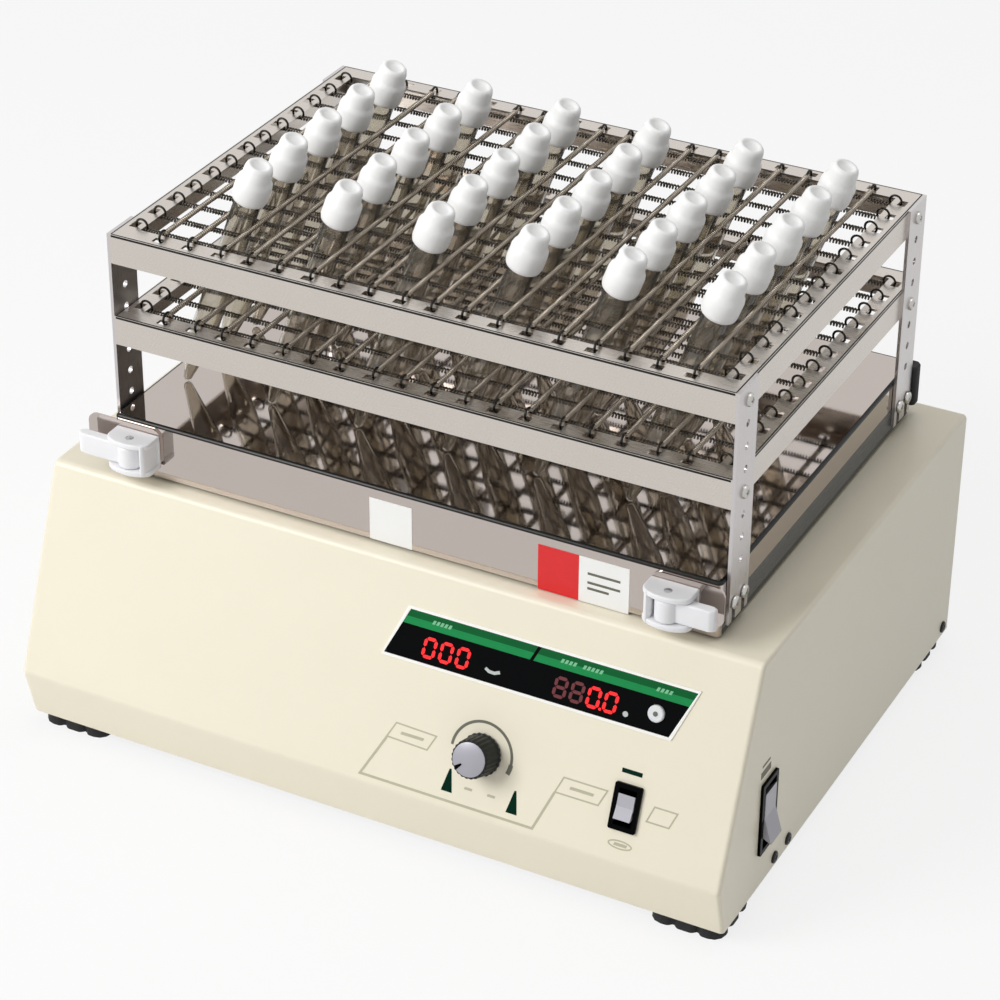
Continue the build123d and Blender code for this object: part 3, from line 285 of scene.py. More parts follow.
class Shell:
    """Closed shells gathered into one mesh."""

    def __init__(self) -> None:
        """Start with nothing."""
        self.points: list[Vector] = []
        self.faces: list[list[int]] = []

    def _grid(self, rows: list[list[Vector]], close: bool) -> None:
        """Join rings of points, each the same length, into a skin.

        Args:
            rows: Rings of points, counter-clockwise seen against the rows' direction.
            close: Whether the last ring joins the first.
        """
        width = len(rows[0])
        base = len(self.points)
        for row in rows:
            self.points.extend(row)
        count = len(rows)
        for i in range(count if close else count - 1):
            for j in range(width):
                a = base + i * width
                b = base + (i + 1) % count * width
                k = (j + 1) % width
                self.faces.append([a + j, a + k, b + k, b + j])

    def prism(self, place: Place, outline: Outline, low: float, high: float) -> "Shell":
        """Add a solid with one outline from one height to another.

        Args:
            place: Axes that the outline lies in.
            outline: Corner points, in either direction.
            low: Height of the lower face.
            high: Height of the upper face.

        Returns:
            The same shell.
        """
        area = sum(a[0] * b[1] - b[0] * a[1] for a, b in zip(outline, [*outline[1:], outline[0]]))
        corners = list(outline) if area > 0 else list(outline)[::-1]
        base = len(self.points)
        count = len(corners)
        self._grid([[place.at(x, y, h) for x, y in corners] for h in (low, high)], False)
        self.faces.append([base + i for i in range(count)][::-1])
        self.faces.append([base + count + i for i in range(count)])
        return self

    def lathe(
        self, place: Place, profile: Outline, steps: int = 32, close: bool = False, flute: float = 0.0,
        flutes: int = 0,
    ) -> "Shell":
        """Add a solid turned about the place's Z axis.

        Args:
            place: Axes whose Z is the axis of turning.
            profile: Radius and height, from the lowest point up the outside.
            steps: Sides of the turned solid.
            close: Whether the profile is a loop, as for a ring.
            flute: Depth of the grooves down the side.
            flutes: Number of grooves.

        Returns:
            The same shell.
        """
        rows = []
        for radius, height in profile:
            row = []
            for j in range(steps):
                angle = 2 * math.pi * j / steps
                grooved = flutes and radius > flute * 4
                dent = flute * (0.5 - 0.5 * math.cos(flutes * angle)) if grooved else 0.0
                r = radius - dent
                row.append(place.at(r * math.cos(angle), r * math.sin(angle), height))
            rows.append(row)
        base = len(self.points)
        self._grid(rows, close)
        if not close:
            self.faces.append([base + i for i in range(steps)][::-1])
            last = base + (len(rows) - 1) * steps
            self.faces.append([last + i for i in range(steps)])
        return self

    def ring(self, place: Place, outer: Outline, inner: Outline, low: float, high: float) -> "Shell":
        """Add a frame between two outlines that run the same way round."""
        sides = ((outer, low), (outer, high), (inner, high), (inner, low))
        rows = [[place.at(x, y, h) for x, y in outline] for outline, h in sides]
        self._grid(rows, True)
        return self

    def weave(self, rows: list[list[Vector]]) -> "Shell":
        """Add a closed skin over rings of points whose last ring joins the first."""
        self._grid(rows, True)
        return self

    def stroke(
        self, place: Place, path: Outline, width: float, low: float, high: float, loop: bool = False,
    ) -> "Shell":
        """Add a line of even width along a path of straight runs.

        Args:
            place: Axes that the path lies in.
            path: Points of the path.
            width: Width of the line.
            low: Height of the lower face.
            high: Height of the upper face.
            loop: Whether the path closes on itself.

        Returns:
            The same shell.
        """
        points = [Vector(p) for p in path]
        count = len(points)
        left, right = [], []
        for i, point in enumerate(points):
            before = points[i - 1] if loop or i else None
            after = points[(i + 1) % count] if loop or i < count - 1 else None
            ways = []
            if before is not None:
                ways.append((point - before).normalized())
            if after is not None:
                ways.append((after - point).normalized())
            mean = sum(ways, Vector((0, 0))).normalized()
            side = Vector((-mean.y, mean.x))
            grow = 1 / max(0.35, abs(mean.dot(ways[0])))
            left.append(tuple(point + side * width / 2 * grow))
            right.append(tuple(point - side * width / 2 * grow))
        if loop:
            outer, inner = (right, left) if _turns_left(points) else (left, right)
            return self.ring(place, outer, inner, low, high)
        return self.prism(place, right + left[::-1], low, high)

    def mesh(self, name: str, crease: float = 35.0) -> bpy.types.Mesh:
        """Write the shells as a mesh, smooth up to an angle in degrees."""
        made = bpy.data.meshes.new(name)
        made.from_pydata([tuple(p) for p in self.points], [], self.faces)
        made.validate()
        made.update()
        for face in made.polygons:
            face.use_smooth = True
        made.set_sharp_from_angle(angle=math.radians(crease))
        return made


def rounded(width: float, depth: float, radius: float, steps: int = 5) -> list[tuple[float, float]]:
    """Outline of a rectangle with round corners, counter-clockwise about its middle."""
    half_x, half_y = width / 2 - radius, depth / 2 - radius
    points = []
    for turn, (sx, sy) in enumerate(((1, 1), (-1, 1), (-1, -1), (1, -1))):
        for i in range(steps + 1):
            a = math.radians(90 * turn + 90 * i / steps)
            points.append((sx * half_x + radius * math.cos(a), sy * half_y + radius * math.sin(a)))
    return points


def _turns_left(points: Sequence[Vector]) -> bool:
    """Whether a loop of points runs counter-clockwise."""
    return sum(a.x * b.y - b.x * a.y for a, b in zip(points, [*points[1:], points[0]])) > 0


def piece(
    name: str, mesh: bpy.types.Mesh, finish: Finish | None, body: str, bevel: float = 0.0,
    replaces: Iterable[str] = (),
) -> bpy.types.Object:
    """Put a mesh on the object as a finished piece.

    Args:
        name: The piece's name.
        mesh: Its mesh, in place.
        finish: Its finish, or None where the mesh has one.
        body: The moving body that it rides on.
        bevel: Width of the rounding on its sharp edges.
        replaces: The solids that it stands for.

    Returns:
        The new object.
    """
    made = bpy.data.objects.new(name, mesh)
    bpy.context.scene.collection.objects.link(made)
    if finish is not None:
        mesh.materials.clear()
        mesh.materials.append(finish.material())
    if bevel:
        rounding = made.modifiers.new("rounding", "BEVEL")
        rounding.width = bevel * MM
        rounding.segments = 3
        rounding.limit_method = "ANGLE"
        rounding.angle_limit = math.radians(32)
        rounding.use_clamp_overlap = True
    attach(made, body)
    if replaces:
        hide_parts(*replaces)
    log.info("made %s on %s", name, body)
    return made


def dress(finish: Finish, *nodes: str) -> None:
    """Give solids that stay as they are a finish."""
    for name in nodes:
        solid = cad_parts[name]
        if not solid.material_slots:
            solid.data.materials.append(finish.material())
        for holder in solid.material_slots:
            holder.material = finish.material()
        log.info("dressed %s as %s", name, finish.name)


# ---------------------------------------------------------------- repeated pieces
@dataclass(frozen=True)
class Spot:
    """Where one copy stands: a point, and how it is turned about X, Y and Z in degrees."""

    point: tuple[float, float, float]
    turn: tuple[float, float, float] = (0.0, 0.0, 0.0)


class Tree:
    """A geometry node tree that stands copies of a shape on points and joins them into one mesh."""

    def __init__(self, name: str, inputs: dict[str, str]) -> None:
        """Start a tree.

        Args:
            name: The tree's name.
            inputs: Socket type of each named input, besides the points and the finish.
        """
        self.group = bpy.data.node_groups.new(name, "GeometryNodeTree")
        sides = self.group.interface
        sides.new_socket("Geometry", in_out="INPUT", socket_type="NodeSocketGeometry")
        sides.new_socket("Geometry", in_out="OUTPUT", socket_type="NodeSocketGeometry")
        for label, kind in inputs.items():
            sides.new_socket(label, in_out="INPUT", socket_type=kind)
        sides.new_socket("Finish", in_out="INPUT", socket_type="NodeSocketMaterial")
        self.given = self.group.nodes.new("NodeGroupInput").outputs

    def node(self, kind: str, links: dict[str, Any] | None = None, **values: Any) -> bpy.types.Node:
        """Add a node.

        Args:
            kind: Blender's name of the node.
            links: Socket that feeds each named input.
            values: Constant of each named input, with underscores for spaces.

        Returns:
            The node.
        """
        made = self.group.nodes.new(kind)
        for label, value in values.items():
            made.inputs[label.replace("_", " ")].default_value = value
        for label, source in (links or {}).items():
            self.group.links.new(source, made.inputs[label])
        return made

    def close(self, shape: Any) -> None:
        """Stand the shape on the points, join the copies and give them the finish."""
        turn = self.node("GeometryNodeInputNamedAttribute")
        turn.data_type = "FLOAT_VECTOR"
        turn.inputs["Name"].default_value = "turn"
        copies = self.node(
            "GeometryNodeInstanceOnPoints", {"Points": self.given["Geometry"], "Instance": shape},
        )
        value = next(s for s in turn.outputs if s.enabled and s.name == "Attribute")
        self.group.links.new(value, copies.inputs["Rotation"])
        joined = self.node("GeometryNodeRealizeInstances", {"Geometry": copies.outputs[0]})
        painted = self.node(
            "GeometryNodeSetMaterial", {"Geometry": joined.outputs[0], "Material": self.given["Finish"]},
        )
        result = self.group.nodes.new("NodeGroupOutput")
        self.group.links.new(painted.outputs[0], result.inputs["Geometry"])

    def run(self, name: str, spots: Iterable[Spot], finish: Finish, **values: Any) -> bpy.types.Mesh:
        """Run the tree on points and return the result as a plain mesh.

        Args:
            name: Name of the mesh.
            spots: Where the copies stand.
            finish: Their finish.
            values: Value of each named input, with underscores for spaces.

        Returns:
            The joined mesh.
        """
        where = list(spots)
        points = bpy.data.meshes.new(name)
        points.from_pydata([tuple(c * MM for c in s.point) for s in where], [], [])
        turns = points.attributes.new("turn", "FLOAT_VECTOR", "POINT")
        for item, spot in zip(turns.data, where):
            item.vector = [math.radians(a) for a in spot.turn]
        host = bpy.data.objects.new(name, points)
        bpy.context.scene.collection.objects.link(host)
        copies = host.modifiers.new("copies", "NODES")
        copies.node_group = self.group
        wanted = {"Finish": finish.material(), **{k.replace("_", " "): v for k, v in values.items()}}
        for socket in self.group.interface.items_tree:
            if socket.in_out == "INPUT" and socket.name in wanted:
                copies[socket.identifier] = wanted[socket.name]
        bpy.context.view_layer.update()
        ready = host.evaluated_get(bpy.context.evaluated_depsgraph_get())
        made = bpy.data.meshes.new_from_object(ready)
        host.modifiers.clear()
        bpy.data.objects.remove(host)
        return made


def spring_tree() -> Tree:
    """Tree of a close-wound spring on each point."""
    tree = Tree(
        "wound_springs",
        {label: "NodeSocketFloat" for label in ("Coil Radius", "Wire Radius", "Length", "Turns")},
    )
    given = tree.given
    coil = tree.node(
        "GeometryNodeCurveSpiral",
        {
            "Rotations": given["Turns"], "Start Radius": given["Coil Radius"],
            "End Radius": given["Coil Radius"], "Height": given["Length"],
        },
        Resolution=8,
    )
    return _wire_round(tree, coil.outputs[0], 4)


def hook_tree() -> Tree:
    """Tree of a wire ring on each point."""
    tree = Tree("hook_rings", {label: "NodeSocketFloat" for label in ("Ring Radius", "Wire Radius")})
    ring = tree.node("GeometryNodeCurvePrimitiveCircle", {"Radius": tree.given["Ring Radius"]}, Resolution=18)
    return _wire_round(tree, ring.outputs[0], 6)


def _wire_round(tree: Tree, path: Any, sides: int) -> Tree:
    """Give a tree's path its wire and close the tree."""
    wire = tree.node(
        "GeometryNodeCurvePrimitiveCircle", {"Radius": tree.given["Wire Radius"]}, Resolution=sides,
    )
    skin = tree.node(
        "GeometryNodeCurveToMesh", {"Curve": path, "Profile Curve": wire.outputs[0]}, Fill_Caps=True,
    )
    tree.close(tree.node("GeometryNodeSetShadeSmooth", {"Geometry": skin.outputs[0]}).outputs[0])
    return tree


def copy_tree() -> Tree:
    """Tree of a given piece on each point."""
    tree = Tree("set_pieces", {"Piece": "NodeSocketObject"})
    given = tree.node("GeometryNodeObjectInfo", {"Object": tree.given["Piece"]})
    tree.close(given.outputs["Geometry"])
    return tree


@dataclass
class Workshop:
    """The trees that make repeated pieces."""

    springs: Tree = field(default_factory=spring_tree)
    hooks: Tree = field(default_factory=hook_tree)
    copies: Tree = field(default_factory=copy_tree)

    def repeat(
        self, name: str, shell: Shell, spots: Iterable[Spot], finish: Finish, crease: float = 35.0,
    ) -> bpy.types.Mesh:
        """Stand copies of a shell, made about the origin, on the spots."""
        master = bpy.data.objects.new(f"{name}_master", shell.mesh(f"{name}_master", crease))
        bpy.context.scene.collection.objects.link(master)
        made = self.copies.run(name, spots, finish, Piece=master)
        bpy.data.objects.remove(master)
        return made


def screw_head(radius: float, height: float, cross: float) -> Shell:
    """A pan head with a cross recess, standing on the XY plane.

    Args:
        radius: Radius of the head.
        height: Height of its crown.
        cross: Length of one arm of the recess.

    Returns:
        The head's shell, with the recess cut as four steps down.
    """
    shell = Shell()
    half = cross * 0.28
    rim = [
        (radius, 0), (radius, height * 0.45), (radius * 0.88, height * 0.8),
        (radius * 0.66, height * 0.97),
    ]
    steps = 24
    angles = [2 * math.pi * j / steps for j in range(steps)]
    rows = [[HOME.at(r * math.cos(a), r * math.sin(a), h) for a in angles] for r, h in rim]
    corner = []
    for angle in angles:
        near = round(angle / (math.pi / 2)) * math.pi / 2
        off = angle - near
        reach = cross if abs(off) < math.radians(16) else half * 1.42
        corner.append((reach * math.cos(angle), reach * math.sin(angle)))
    for depth in (1.0, 0.35):
        taper = 0.6 + 0.4 * depth
        rows.append([HOME.at(x * taper, y * taper, height * depth) for x, y in corner])
    shell._grid(rows, False)
    shell.faces.append(list(range(steps))[::-1])
    last = (len(rows) - 1) * steps
    shell.faces.append(list(range(last, last + steps)))
    return shell


# ---------------------------------------------------------------- studio
@dataclass
class Studio:
    """Camera, floor, lamps and surroundings."""

    eye: tuple[float, float, float] = (772.11, -1493.53, 1162.63)
    ahead: tuple[float, float, float] = (-0.3918, 0.7586, -0.5206)
    right: tuple[float, float, float] = (0.8866, 0.4626, 0.0068)
    lens: float = 114.66
    sensor: float = 36.0
    floor_reach: float = 14000.0
    floor_tone: float = 0.86
    floor_share: float = 0.8
    air_level: float = 0.34
    aim: tuple[float, float, float] = (0.0, 0.0, 0.18)

    def set_camera(self) -> None:
        """Stand the camera and make it the scene's own."""
        data = bpy.data.cameras.new("camera")
        data.lens = self.lens
        data.sensor_width = self.sensor
        data.clip_start, data.clip_end = 0.05, 50.0
        camera = bpy.data.objects.new("camera", data)
        bpy.context.scene.collection.objects.link(camera)
        back = -Vector(self.ahead).normalized()
        side = Vector(self.right)
        side = (side - back * side.dot(back)).normalized()
        up = back.cross(side)
        turned = Matrix((side, up, back)).transposed().to_4x4()
        camera.matrix_world = Matrix.Translation(Vector(self.eye) * MM) @ turned
        bpy.context.scene.camera = camera

    def lay_floor(self) -> None:
        """Lay the pale bench top."""
        reach = self.floor_reach * MM
        mesh = bpy.data.meshes.new("floor")
        corners = [(sx * reach, sy * reach, 0) for sx, sy in ((-1, -1), (1, -1), (1, 1), (-1, 1))]
        mesh.from_pydata(corners, [], [(0, 1, 2, 3)])
        floor = bpy.data.objects.new("floor", mesh)
        bpy.context.scene.collection.objects.link(floor)
        made = bpy.data.materials.new("floor_white")
        made.use_nodes = True
        tree = made.node_tree
        shader = tree.nodes["Principled BSDF"]
        shader.inputs["Base Color"].default_value = (*[self.floor_tone] * 3, 1.0)
        shader.inputs["Roughness"].default_value = 0.9
        shader.inputs["Specular IOR Level"].default_value = 0.1
        shine = tree.nodes.new("ShaderNodeEmission")
        shine.inputs["Color"].default_value = (1.0, 1.0, 1.0, 1.0)
        shine.inputs["Strength"].default_value = 1.0
        share = tree.nodes.new("ShaderNodeMath")
        share.operation = "MULTIPLY"
        share.inputs[1].default_value = self.floor_share
        tree.links.new(self._seen(tree), share.inputs[0])
        mix = tree.nodes.new("ShaderNodeMixShader")
        tree.links.new(share.outputs[0], mix.inputs[0])
        tree.links.new(shader.outputs[0], mix.inputs[1])
        tree.links.new(shine.outputs[0], mix.inputs[2])
        tree.links.new(mix.outputs[0], tree.nodes["Material Output"].inputs["Surface"])
        mesh.materials.append(made)

    @staticmethod
    def _seen(tree: bpy.types.NodeTree) -> Any:
        """One where the ray comes from the eye, a mirror or a clear piece."""
        path = tree.nodes.new("ShaderNodeLightPath")
        first = tree.nodes.new("ShaderNodeMath")
        first.operation = "MAXIMUM"
        tree.links.new(path.outputs["Is Camera Ray"], first.inputs[0])
        tree.links.new(path.outputs["Is Glossy Ray"], first.inputs[1])
        both = tree.nodes.new("ShaderNodeMath")
        both.operation = "MAXIMUM"
        tree.links.new(first.outputs[0], both.inputs[0])
        tree.links.new(path.outputs["Is Transmission Ray"], both.inputs[1])
        return both.outputs[0]

    def set_world(self) -> None:
        """Surround the bench with plain pale air."""
        world = bpy.data.worlds.new("studio")
        world.use_nodes = True
        tree = world.node_tree
        back = tree.nodes["Background"]
        back.inputs["Color"].default_value = (1.0, 1.0, 1.0, 1.0)
        level = tree.nodes.new("ShaderNodeMapRange")
        level.inputs["To Min"].default_value = self.air_level
        level.inputs["To Max"].default_value = 1.0
        tree.links.new(self._seen(tree), level.inputs["Value"])
        tree.links.new(level.outputs["Result"], back.inputs["Strength"])
        bpy.context.scene.world = world

    def lamp(self, name: str, spot: tuple[float, float, float], size: float, power: float) -> None:
        """Hang a soft square lamp that looks at the object's middle."""
        data = bpy.data.lights.new(name, "AREA")
        data.shape = "SQUARE"
        data.size = size
        data.energy = power
        lamp = bpy.data.objects.new(name, data)
        bpy.context.scene.collection.objects.link(lamp)
        lamp.location = spot
        lamp.rotation_mode = "QUATERNION"
        lamp.rotation_quaternion = (Vector(self.aim) - Vector(spot)).to_track_quat("-Z", "Y")

    def build(self) -> None:
        """Set the whole studio."""
        self.set_camera()
        self.lay_floor()
        self.set_world()
        self.lamp("key", (-1.5, -1.9, 1.75), 1.5, 56.0)
        self.lamp("top", (0.2, 0.5, 2.6), 1.6, 13.0)
        bpy.context.scene.view_settings.view_transform = "Standard"


# ---------------------------------------------------------------- housing and panel
@dataclass
class Housing:
    """Wedge-fronted cover, its feet and its fixings."""

    half_width: float = 236.0
    crease: tuple[float, float] = (-184.0, 44.0)
    rise: float = 127.0
    setback: float = 49.0
    side_screws: tuple[tuple[float, float], ...] = ((-103.0, 16.5), (-83.0, 16.5), (172.0, 16.5))
    foot_places: tuple[tuple[float, float], ...] = (
        (-210.0, -149.0), (-210.0, 158.0), (210.0, -149.0), (210.0, 158.0),
    )
    foot_size: tuple[float, float] = (46.0, 44.0)
    foot_height: float = 9.95
    foot_draft: float = 1.0
    screw_recess: float = 4.2

    @property
    def panel(self) -> Place:
        """The sloping front: X to the right, Y up the slope from the crease."""
        return Place(
            Vector((0, *self.crease)), Vector((1, 0, 0)),
            Vector((0, self.setback, self.rise)).normalized(),
        )

    def build(self, shop: Workshop) -> None:
        """Dress the cover and put its screws in."""
        dress(ENAMEL, "body_cover")
        dress(ZINC, "base_plate")
        self.feet()
        dress(BRIGHT, "foot_screws")
        spots = [
            Spot((sx * self.half_width, y, z), (0, 90 * sx, 0))
            for sx in (-1, 1) for y, z in self.side_screws
        ]
        mesh = shop.repeat("side_screws", screw_head(3.9, 1.6, 1.9), spots, BLACK_STEEL)
        piece("side_screws", mesh, None, "base", replaces=["cover_screws"])

    def feet(self) -> None:
        """Mould the lobed rubber feet with their screw recesses."""
        shell = Shell()
        width, depth = self.foot_size
        for x, y in self.foot_places:
            place = HOME.moved(x, y)
            outer = self.lobes(width, depth)
            hole = self.screw_recess
            inner = [(hole * x / math.hypot(x, y), hole * y / math.hypot(x, y)) for x, y in outer]
            upper = self.lobes(width - self.foot_draft, depth - self.foot_draft)
            sections = ((inner, 0.0), (outer, 0.0), (upper, self.foot_height), (inner, self.foot_height))
            shell.weave([[place.at(*p, z) for p in outline] for outline, z in sections])
        piece(
            "rubber_feet_lobed", shell.mesh("rubber_feet_lobed", 50), RUBBER, "base",
            replaces=["rubber_feet"],
        )

    @staticmethod
    def lobes(width: float, depth: float, dent: float = 2.6, per_side: int = 36) -> list[tuple[float, float]]:
        """Outline of a square pad with three lobes to a side."""
        points = rounded(width, depth, 8.0, 3)
        filled = []
        for a, b in zip(points, [*points[1:], points[0]]):
            span = math.hypot(b[0] - a[0], b[1] - a[1])
            count = max(1, round(span / (width / per_side))) if span > 5 else 1
            for i in range(count):
                filled.append((a[0] + (b[0] - a[0]) * i / count, a[1] + (b[1] - a[1]) * i / count))
        out = []
        spread, between, nowhere = 2.0, 7.6, 99.0
        for x, y in filled:
            along = x if abs(abs(y) - depth / 2) < 0.5 else y if abs(abs(x) - width / 2) < 0.5 else nowhere
            cut = dent * sum(math.exp(-(((along - c) / spread) ** 2)) for c in (-between, between))
            if along == x:
                out.append((x, y - math.copysign(cut, y)))
            else:
                out.append((x - math.copysign(cut, x) if along == y else x, y))
        return out


@dataclass
class Drive:
    """Crank drive and electrics inside the housing."""

    def build(self) -> None:
        """Dress the hidden works."""
        dress(ZINC, "deck_pillars", "drive_deck")
        dress(
            ALLOY, "main_bearing_housing", "idler_housings", "drive_pulley", "motor_pulley",
            "platform_hub", "idler_hubs",
        )
        dress(STEEL, "main_bearings", "idler_bearings", "hub_bearings", "idler_hub_bearings")
        dress(STEEL, "crankshaft", "counterweight", "motor_spindle", "control_spindle")
        dress(
            STEEL,
            *[f"idler_crank_{corner}" for corner in ("front_left", "front_right", "rear_left", "rear_right")],
        )
        dress(MOTOR, "motor")
        dress(BELT, "drive_belt")
        dress(BOARD, "control_board", "display_board")
        dress(BRASS, "board_standoffs")
        dress(SWITCH, "button_switch", "speed_control")


@dataclass
class Display:
    """Slant-ended display window with its bands, digits and button."""

    middle: tuple[float, float] = (103.4, 95.25)
    width: float = 183.0
    height: float = 29.5
    skew: float = 12.5
    rim: float = 1.7
    face: float = 0.4
    band: tuple[float, float] = (101.0, 110.0)
    gap: tuple[float, float] = (97.2, 99.4)
    digit: tuple[float, float] = (6.6, 11.0)
    digit_low: float = 84.7
    lean: float = 0.1
    speed_places: tuple[float, ...] = (33.5, 44.4, 55.3)
    dim_places: tuple[float, ...] = (118.3, 128.8)
    time_places: tuple[float, ...] = (139.4, 150.0)
    button: tuple[float, float] = (179.0, 92.0)

    def outline(self, grow: float) -> list[tuple[float, float]]:
        """The window's outline, grown outward by a distance."""
        half, lift, lean = self.width / 2 + grow, self.height / 2 + grow, self.skew / 2
        points = [(-half - lean, -lift), (half - lean, -lift), (half + lean, lift), (-half + lean, lift)]
        return [(self.middle[0] + x, self.middle[1] + y) for x, y in points]

    def edge_x(self, side: int, up: float) -> float:
        """Where the window's slanted end lies at a height, on one side."""
        return self.middle[0] + side * self.width / 2 + self.skew * (up - self.middle[1]) / self.height

    def bar(
        self, shell: Shell, panel: Place, low: float, high: float,
        ends: tuple[float, float, float, float], top: float,
    ) -> None:
        """Add a flat slanted bar between two heights; ends are low left, low right, high right, high left."""
        outline = [(ends[0], low), (ends[1], low), (ends[2], high), (ends[3], high)]
        shell.prism(panel, outline, self.face + SEAT, self.face + top)

    def segments(self, shell: Shell, panel: Place, x: float, lit: str) -> None:
        """Add the lit bars of one seven-bar digit.

        Args:
            shell: Shell that takes the bars.
            panel: Axes of the panel.
            x: Left edge of the digit.
            lit: Letters of the lit bars, a to g.
        """
        w, h = self.digit
        t, g = 2.0, 0.3
        half = h / 2
        runs = {
            "a": ((0, h), (w, h)), "b": ((w, h), (w, half)), "c": ((w, half), (w, 0)), "d": ((0, 0), (w, 0)),
            "e": ((0, 0), (0, half)), "f": ((0, half), (0, h)), "g": ((0, half), (w, half)),
        }
        for letter in lit:
            (x0, y0), (x1, y1) = runs[letter]
            way = Vector((x1 - x0, y1 - y0)).normalized()
            side = Vector((-way.y, way.x)) * t / 2
            start, stop = Vector((x0, y0)) + way * g, Vector((x1, y1)) - way * g
            tip = way * t / 2
            corners = [
                start, start + tip + side, stop - tip + side, stop, stop - tip - side,
                start + tip - side,
            ]
            outline = [(x + p.x + self.lean * p.y, self.digit_low + p.y) for p in corners]
            shell.prism(panel, outline, self.face + SEAT, self.face + INK)

    def build(self, panel: Place) -> None:
        """Make the window's dressing on the panel."""
        dress(GLOSS_BLACK, "display_window")
        dress(DIM_RED, "digit_modules")
        dress(BUTTON, "set_button")
        rim = Shell().ring(panel, self.outline(self.rim), self.outline(0.0), 0.0, self.face + 0.35)
        piece("window_rim", rim.mesh("window_rim"), WHITE_TRIM, "base", bevel=0.2)
        low, high = self.band
        middle = (low + high) / 2
        top = 0.1
        for name, finish, a, b in (
            ("band_lower", BAND_LIGHT, low, middle), ("band_upper", BAND_DARK, middle, high - 0.1),
        ):
            shell = Shell()
            lean_a, lean_b = (self.skew * (h - low) / self.height for h in (a, b))
            left, right = self.gap
            starts = [self.edge_x(-1, up) + 0.2 for up in (a, b)]
            stops = [self.edge_x(1, up) - 0.2 for up in (a, b)]
            self.bar(shell, panel, a, b, (starts[0], left + lean_a, left + lean_b, starts[1]), top)
            self.bar(shell, panel, a, b, (right + lean_a, stops[0], stops[1], right + lean_b), top)
            piece(name, shell.mesh(name), finish, "base")
        marks = Shell()
        marks.stroke(
            panel, [(71.0, 88.6), (73.5, 87.2), (77.0, 87.0), (80.4, 88.4)], 1.9, self.face + SEAT,
            self.face + 0.1,
        )
        marks.lathe(panel.moved(160.6, 86.3, self.face + SEAT), [(1.7, 0), (1.7, 0.16)], 18)
        piece("window_marks", marks.mesh("window_marks"), PALE_MARK, "base")
        words = Shell()
        for x0, letters in ((33.0, 5), (116.0, 4), (130.0, 5), (176.0, 4)):
            for i in range(letters):
                x = x0 + 2.6 * i
                self.bar(words, panel, 104.6, 107.0, (x, x + 1.7, x + 2.7, x + 1.0), 0.16)
        piece("band_words", words.mesh("band_words"), BAND_PRINT, "base")
        lit, dim = Shell(), Shell()
        for x in (*self.speed_places, *self.time_places):
            self.segments(lit, panel, x - self.digit[0] / 2, "abcdef")
        for x in self.dim_places:
            self.segments(dim, panel, x - self.digit[0] / 2, "abcdefg")
        lit.lathe(
            panel.moved(self.time_places[0] + 5.4, self.digit_low, self.face + SEAT),
            [(0.9, 0), (0.9, 0.17)], 14,
        )
        piece("lit_digits", lit.mesh("lit_digits"), LIT_RED, "base")
        piece("dim_digits", dim.mesh("dim_digits"), DIM_RED, "base")
        dot = Shell().lathe(panel.moved(*self.button, 2.3), [(1.5, 0), (1.5, 0.25), (1.2, 0.32)], 20)
        piece("button_dot", dot.mesh("button_dot"), PRINT_GREY, "set_button")


